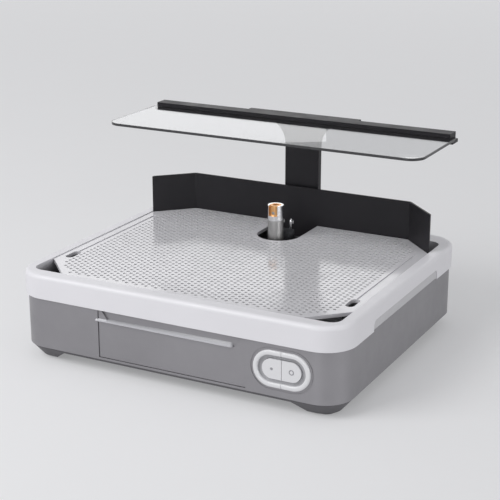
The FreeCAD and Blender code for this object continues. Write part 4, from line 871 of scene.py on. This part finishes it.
# %% switch marks
def turned_shape(radius, height, around, centre, axis):
    """A profile of radius and height carried round an axis through centre: each point is the
    centre, plus radius times (cos, sin) across the axis, plus height along it."""
    axis, across, up = square_to(axis)
    turn = np.linspace(0, 2 * math.pi, around, endpoint=False)
    spoke = np.cos(turn)[:, None] * across + np.sin(turn)[:, None] * up
    points = np.asarray(centre) + np.asarray(radius)[:, None, None] * spoke
    return (points + np.asarray(height)[:, None, None] * axis).reshape(-1, 3)


def switch_mark(key, inner, outer, mark_x):
    """A rounded ridge between two radii on a key's front face: its height follows a half sine."""
    box_low, box_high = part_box(key)
    sunk, tall, around = -0.0003, 0.00035, 40
    swell = np.linspace(0, math.pi, 9)
    radius = (inner + outer) / 2 + (outer - inner) / 2 * np.cos(swell)
    height = np.concatenate([[sunk], tall * np.sin(swell), [sunk]])
    radius = np.concatenate([[outer], radius, [inner]])
    centre = (mark_x, box_low.y, (box_low.z + box_high.z) / 2)
    points = turned_shape(radius, height, around, centre, (0, -1, 0))
    return points, grid_faces(len(radius), around).tolist()


FINISH["mark_grey"] = moulding("mark_grey", (0.34, 0.34, 0.36), 0.35, 0.0008, 1e-5, 0.03)
dot = switch_mark("on_button", 0.00002, 0.0016, 0.1226)
make_piece("on_dot", *dot, "on_key", "switch_white", finish="mark_grey")
ring = switch_mark("off_button", 0.0018, 0.0030, 0.1454)
make_piece("off_ring", *ring, "off_key", "switch_white", finish="mark_grey")

# %% [markdown]
# ## The soft oval round the keys
# The switch sits in a white oval frame with a domed rim, a trough inside it and
# a nick at top and bottom where its halves meet. A bevel on the CAD's frame
# tears at the nicks, so the frame is drawn afresh: one section carried round an
# oval of two half circles and two straights.


# %% switch frame
def oval_stations(arc_points, spots):
    """Places round an oval: which half circle's centre each belongs to, from 1 on the right to -1
    on the left, and its angle. Along the straights the angle rests and the centre moves."""
    bow = np.linspace(-math.pi / 2, math.pi / 2, arc_points)
    spots = np.asarray(spots)
    centre = np.concatenate([np.ones(arc_points), spots, -np.ones(arc_points), -spots])
    quarter = np.full(len(spots), math.pi / 2)
    return centre, np.concatenate([bow, quarter, bow + math.pi, quarter + math.pi])


def switch_frame():
    """The section is a list of straight lengths, radii and depths: a dome whose height follows
    (1 - |t|^3)^(1/3) across the rim, the trough's wall and floor, and the way back behind it.
    Each nick is a V pressed into the dome where |x| from the middle is under its half width."""
    box_low, box_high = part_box("switch_bezel")
    middle_x, middle_z = (box_low.x + box_high.x) / 2, (box_low.z + box_high.z) / 2
    radius = (box_high.z - box_low.z) / 2
    straight = (box_high.x - box_low.x) / 2 - radius
    band, wall_y, floor_y = 0.0055, -0.17245, -0.1710
    across = -np.cos(np.linspace(0, math.pi, 25))
    dome_r = radius - band / 2 * (1 + across)
    dome_y = wall_y + (box_low.y - wall_y) * np.cbrt(1 - np.abs(across) ** 3)
    inner = radius - band
    rest = [(inner, -0.1714), (inner - 0.0001, -0.1711), (inner - 0.0004, floor_y)]
    hole_straight, hole_r = 0.0115, 0.0113
    back_r = radius - 0.004
    rest += [(hole_r, floor_y), (hole_r, box_high.y), (back_r, box_high.y), (back_r, wall_y)]
    section_r = np.concatenate([dome_r, [r for r, _ in rest]])
    section_y = np.concatenate([dome_y, [y for _, y in rest]])
    length = np.where(np.isclose(section_r, hole_r), hole_straight, straight)
    domed = np.arange(len(section_r)) < len(dome_r)
    near = np.array([0.9, 0.5, 0.09, 0.05, 0.025, 0, -0.025, -0.05, -0.09, -0.5, -0.9])
    centre, angle = oval_stations(40, near)
    x = centre[:, None] * length + section_r * np.cos(angle)[:, None]
    z = section_r * np.sin(angle)[:, None]
    nick = 0.0009 * np.clip(1 - np.abs(x) / 0.0007, 0, 1) * domed
    y = np.minimum(section_y + nick, np.maximum(section_y, wall_y))
    points = np.dstack([middle_x + x, y, middle_z + z])
    loop = np.concatenate([points, points[:1]])
    faces = grid_faces(len(loop), len(section_r)) % (len(points) * len(section_r))
    return points.reshape(-1, 3), faces.tolist()


make_piece("switch_frame", *switch_frame(), "base", "switch_white", ["switch_bezel"])

# %% [markdown]
# The two keys, the guard, the light bar and the post's socket keep their CAD
# shape. Their rims are rounded with a bevel, after a weld that joins the CAD's
# faces: the fine highlight there makes them look moulded.


# %% soft rims
def soft_rims(node, width):
    """A weld and a bevel of that width on every sharp edge."""
    solid = frame["nodes"][node]
    solid.modifiers.new("weld", "WELD").merge_threshold = 1e-5
    rim = solid.modifiers.new("soft_rim", "BEVEL")
    rim.width, rim.segments, rim.limit_method = width, 3, "ANGLE"
    rim.angle_limit = math.radians(40)
    rim.harden_normals = True


for node in ("on_button", "off_button"):
    soft_rims(node, 0.0006)
for node in ("splash_guard", "light_bar", "post_socket"):
    soft_rims(node, 0.0004)
print("soft rims on the keys, the guard, the light bar and the socket")

# %% [markdown]
# ## The sponge behind the bit
# A strip of foam carries water from the tray up to the bit. It is an L in
# section: a block with a lip that leans on the bit. The section is carried
# along the sponge with its ends drawn in, and pores are pressed into it where
# it is near one of many scattered points, so the foam shows pits in outline.


# %% sponge
def rounded_section(corners, radius, count):
    """count points round a closed outline, by smoothing a dense walk of its sides over radius."""
    a, b = corners, np.roll(corners, -1, 0)
    length = np.hypot(*(b - a).T)
    reach = np.concatenate([[0], np.cumsum(length)])
    walk = np.arange(count) / count * reach[-1]
    side = np.searchsorted(reach, walk, "right") - 1
    share = ((walk - reach[side]) / length[side])[:, None]
    points = a[side] + share * (b - a)[side]
    blur = np.exp(-0.5 * (np.minimum(walk, reach[-1] - walk) / (radius * 0.6)) ** 2)
    blur /= blur.sum()
    return np.real(np.fft.ifft(np.fft.fft(points, axis=0) * np.fft.fft(blur)[:, None], axis=0))


def sponge_shape():
    """The section at each place along the sponge, shrunk towards its middle near the ends, and
    pressed in by pores: depth times exp of minus the squared distance to the nearest pore."""
    box_low, box_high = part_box("sponge")
    y0, y1, z0, z1 = box_low.y, box_high.y, box_low.z, box_high.z
    lip_y, lip_z = y1 - 0.010, z0 + 0.0072
    corners = np.array([[lip_y, z0], [y1, z0], [y1, z1], [y0, z1], [y0, lip_z], [lip_y, lip_z]])
    section = rounded_section(corners, 0.0011, 200)
    along = np.sin(np.linspace(-math.pi / 2, math.pi / 2, 84)) * (box_high.x - 0.0003)
    middle = np.array([lip_y + 0.0012, z0 + 0.0118])
    end = np.clip((np.abs(along) - box_high.x + 0.0016) / 0.0016, 0, 1)
    shrink = 1 - 0.17 * (1 - np.sqrt(1 - end ** 2 * 0.999))
    ring = middle + shrink[:, None, None] * (section - middle)
    where = np.broadcast_to(along[:, None, None], ring.shape[:2] + (1,))
    points = np.dstack([where, ring]).reshape(-1, 3)
    ends = np.array([[along[0], *middle], [along[-1], *middle]])
    random = np.random.default_rng(7)
    pores = random.uniform(box_low, box_high, (2600, 3))
    deep = random.uniform(0.0003, 0.0007, len(pores))
    gap = ((points ** 2).sum(1)[:, None] + (pores ** 2).sum(1) - 2 * points @ pores.T).clip(0)
    press = (deep * np.exp(-gap / (0.00055 ** 2))).max(1)
    inward = np.column_stack([np.zeros(len(points)), middle - points[:, 1:]])
    points += press[:, None] * inward / np.linalg.norm(inward, axis=1)[:, None]
    return np.vstack([points, ends]), len(along), len(section)


sponge_points, rows, around = sponge_shape()
sponge_faces = grid_faces(rows, around).tolist() + end_fans(rows, around).tolist()
sponge = make_piece("foam_sponge", sponge_points, sponge_faces, "tray", "foam", ["sponge"], 80)

# %% [markdown]
# ## The drawer's pull
# Fingers reach under the tray into a scoop and pull on its floor, which curves
# out to a ledge. The curve is what catches the light: it faces the panel's
# way at the back and the ceiling's at the front, and the ledge's pale grey adds a
# painted highlight to it. A bevelled bar would shine in stripes, so the section is
# drawn as one hollow curve and carried along.


# %% drawer pull
def pull_ledge():
    """At each place along X the section runs from the back of its foot, round a nose of half a
    millimetre, and up a hollow curve: height = nose + (tall - nose) x share of depth ^ 1.8.
    The ledge grows taller to the right, and its ends are drawn in along quarter circles."""
    box_low, box_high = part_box("drawer_pull")
    panel_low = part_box("drawer_front")[0]
    house_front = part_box("housing_shell")[0].y
    left, right, taper = box_low.x - 0.0135, box_high.x - 0.0050, 0.0035
    share = (1 - np.cos(np.linspace(0, math.pi, 121))) / 2
    along = left + (right - left) * share
    end = np.clip(np.maximum(left + taper - along, along - right + taper) / taper, 0, 1)
    drawn = np.sqrt(1 - 0.97 * end ** 2)
    edge = panel_low.x
    steps = [edge - 0.0012, edge + 0.0002, edge + 0.0105, edge + 0.0125]
    depths = [house_front - 0.0001, panel_low.y + 0.0002, panel_low.y + 0.0002, box_high.y + 0.0001]
    back = np.interp(along, steps, depths)
    front = back + (box_low.y - back) * drawn
    tall = (0.0026 + 0.0018 * share) * drawn
    nose = 0.0005 * drawn
    turn = np.linspace(0, math.pi / 2, 6)[:-1]
    up = np.linspace(0, 1, 16)
    nose_y = front[:, None] + nose[:, None] * (1 - np.sin(turn))
    nose_z = nose[:, None] * (1 - np.cos(turn))
    rise_y = front[:, None] + (back - front)[:, None] * up
    rise_z = nose[:, None] + (tall - nose)[:, None] * up ** 1.8
    y = np.hstack([back[:, None], nose_y, rise_y])
    z = box_low.z + np.hstack([np.zeros((len(along), 1)), nose_z, rise_z])
    points = np.dstack([np.broadcast_to(along[:, None], y.shape), y, z]).reshape(-1, 3)
    around = y.shape[1]
    ring = np.arange(around)
    caps = [ring.tolist(), (ring + (len(along) - 1) * around)[::-1].tolist()]
    return points, grid_faces(len(along), around)[:, ::-1].tolist() + caps


make_piece("pull_ledge", *pull_ledge(), "drawer", "lip_grey", ["drawer_pull"], 60)

# %% [markdown]
# ## The side holds
# Two fingers lift the tray at each side, in a hold under its rim. A ribbed strip
# closes the hold's lower half, and the skirt ends there in round corners. Ribs
# are a wave added to the strip's depth, so one grid makes strip and ribs alike.


# %% ribbed strips
HOLD_HALF, RIB_PITCH, SKIRT_LOW = 0.0949, 0.0042, 0.076
tray_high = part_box("water_tray")[1]
house_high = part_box("housing_shell")[1]
grip_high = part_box("handle_grips")[1]


def ribbed_strip(side):
    """A strip along Y whose section is a rounded rectangle: its outer face stands out by
    rib height times |sin(pi y / pitch)|, and its ends butt against the skirt."""
    along = np.linspace(-HOLD_HALF, HOLD_HALF, 449)
    inner, outer = house_high.x + 0.0003, tray_high.x - 0.0018
    foot, head = SKIRT_LOW + 0.0004, house_high.z - 0.0002
    rib = 0.0010 * np.abs(np.sin(math.pi * along / RIB_PITCH)) ** 0.7
    turn = np.linspace(0, math.pi, 13)
    face_z = (foot + head) / 2 - (head - foot) / 2 * np.cos(turn)
    bulge = np.sin(turn) ** 0.35
    outer_x = outer + rib[:, None] * bulge - 0.0006 * (1 - bulge)
    ring_x = np.hstack([outer_x, np.full((len(along), 2), inner)])
    ring_z = np.broadcast_to(np.concatenate([face_z, [head, foot]]), ring_x.shape)
    ring_y = np.broadcast_to(along[:, None], ring_x.shape)
    points = np.dstack([ring_x, ring_y, ring_z]).reshape(-1, 3) * (side, 1, 1)
    around = ring_x.shape[1]
    faces = grid_faces(len(along), around)
    faces = faces[:, ::-1] if side > 0 else faces
    first, last = np.arange(around), np.arange(around) + (len(along) - 1) * around
    caps = [first.tolist(), last[::-1].tolist()] if side > 0 else [first[::-1].tolist(), last.tolist()]
    return points, faces.tolist() + caps


def joined(shapes):
    """Several shapes' points and faces as one."""
    starts = np.cumsum([0] + [len(points) for points, _ in shapes])
    faces = [[start + i for i in face] for start, (_, some) in zip(starts, shapes) for face in some]
    return np.vstack([points for points, _ in shapes]), faces


FINISH["grip_grey"] = moulding("pale_grip", (0.60, 0.595, 0.615), 0.46, 0.0009, 1.2e-5, 0.02, 0.4)
frame["nodes"]["handle_grips"].data.materials[0] = FINISH["grip_grey"]
strips = joined([ribbed_strip(side) for side in (-1, 1)])
make_piece("side_ribs", *strips, "tray", slot_of["handle_grips"], sharp=40, finish="grip_grey")

# %% [markdown]
# The hold's upper corners are round on the real tray and square in the solid.
# Rounding a copy of the whole tray would be a large mesh for four small places,
# so each corner gets a small filler with a hollow quarter circle for its edge.


# %% hold corners
def hold_corner(side, end, radius=0.0075):
    """The round corner between skirt and hold: a curved triangle, square at the hold's corner and
    closed by a quarter circle, drawn through the skirt's thickness."""
    turn = np.linspace(0, math.pi / 2, 13)
    y = HOLD_HALF + 0.0002 - radius + radius * np.sin(turn)
    z = grip_high.z + 0.0001 - radius + radius * np.cos(turn)
    outline = np.vstack([[HOLD_HALF + 0.0002, grip_high.z + 0.0001], np.column_stack([y, z])])
    count = len(outline)
    inner, outer = (
        np.column_stack([np.full(count, side * x), outline * (end, 1)])
        for x in (house_high.x + 0.0003, tray_high.x - 0.00005)
    )
    index = np.arange(count)
    walls = np.column_stack([index, (index + 1) % count, (index + 1) % count + count, index + count])
    caps = [index.tolist(), (index + count)[::-1].tolist()]
    faces = walls.tolist() + caps
    return np.vstack([inner, outer]), [face[::-1] for face in faces] if side * end > 0 else faces


corners = [hold_corner(side, end) for side in (-1, 1) for end in (-1, 1)]
make_piece("hold_corners", *joined(corners), "tray", "tray_white", sharp=40)

# %% [markdown]
# ## Cross-head screws
# Two screws hold the light bar to its post and six the base to the housing.
# The head is a dome with a cross pressed in: a height over radius and angle,
# lowered where the point lies on one of the two bars of the cross.


# %% screws
def cross_head(centre, axis, radius, height):
    """A screw head: height times (1 - (r/R)^2 * 0.45) over a polar grid, less the cross's depth
    where |x| or |y| is under the bar's half width and r is under 0.66 R, with a straight skirt."""
    share = np.concatenate([np.linspace(0.02, 0.97, 26), [1.0, 1.0]])
    turn = np.linspace(0, 2 * math.pi, 96, endpoint=False)
    r, t = np.meshgrid(share, turn, indexing="ij")
    x, y = r * np.cos(t), r * np.sin(t)
    bar = np.minimum(np.abs(x), np.abs(y))
    cut = np.clip((0.15 - bar) / 0.05, 0, 1) * np.clip((0.66 - r) / 0.08, 0, 1)
    tall = height * (1 - 0.45 * r ** 2) - cut * height * 0.62
    tall[-2] = height * 0.45
    tall[-1] = -height * 0.05
    axis, across, up = square_to(axis)
    points = np.asarray(centre) + (x * radius)[..., None] * across + (y * radius)[..., None] * up
    points = (points + tall[..., None] * axis).reshape(-1, 3)
    tip = np.asarray(centre) + axis * (height * 0.38)
    foot = np.asarray(centre) - axis * (height * 0.05)
    return np.vstack([points, tip, foot]), len(share), len(turn)


HEAD_R, HEAD_TALL = 0.0038, 0.0024


def screw_set(name, centres, axis, body, node):
    """All the heads of one node in one piece."""
    heads = [cross_head(centre, axis, HEAD_R, HEAD_TALL) for centre in centres]
    rows, around = heads[0][1:]
    shift = np.arange(len(heads))[:, None, None] * len(heads[0][0])
    faces = (grid_faces(rows, around) + shift).reshape(-1, 4).tolist()
    faces += (end_fans(rows, around) + shift).reshape(-1, 3).tolist()
    return make_piece(name, np.vstack([h[0] for h in heads]), faces, body, "plated_steel", [node], 42)


BAR_SCREW_X, BAR_SCREW_Z = 0.034, 0.2355
BASE_SCREW_PLACES = ((0.182, 0.0), (0.098, -0.138), (0.090, 0.150))
bar_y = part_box("shield_screws")[1].y - HEAD_TALL
bar_places = [(side * BAR_SCREW_X, bar_y, BAR_SCREW_Z) for side in (-1, 1)]
screw_set("bar_screws", bar_places, (0, 1, 0), "shield", "shield_screws")
base_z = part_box("base_screws")[0].z + HEAD_TALL
base_places = [(side * x, y, base_z) for x, y in BASE_SCREW_PLACES for side in (-1, 1)]
screw_set("base_heads", base_places, (0, 0, -1), "base", "base_screws")
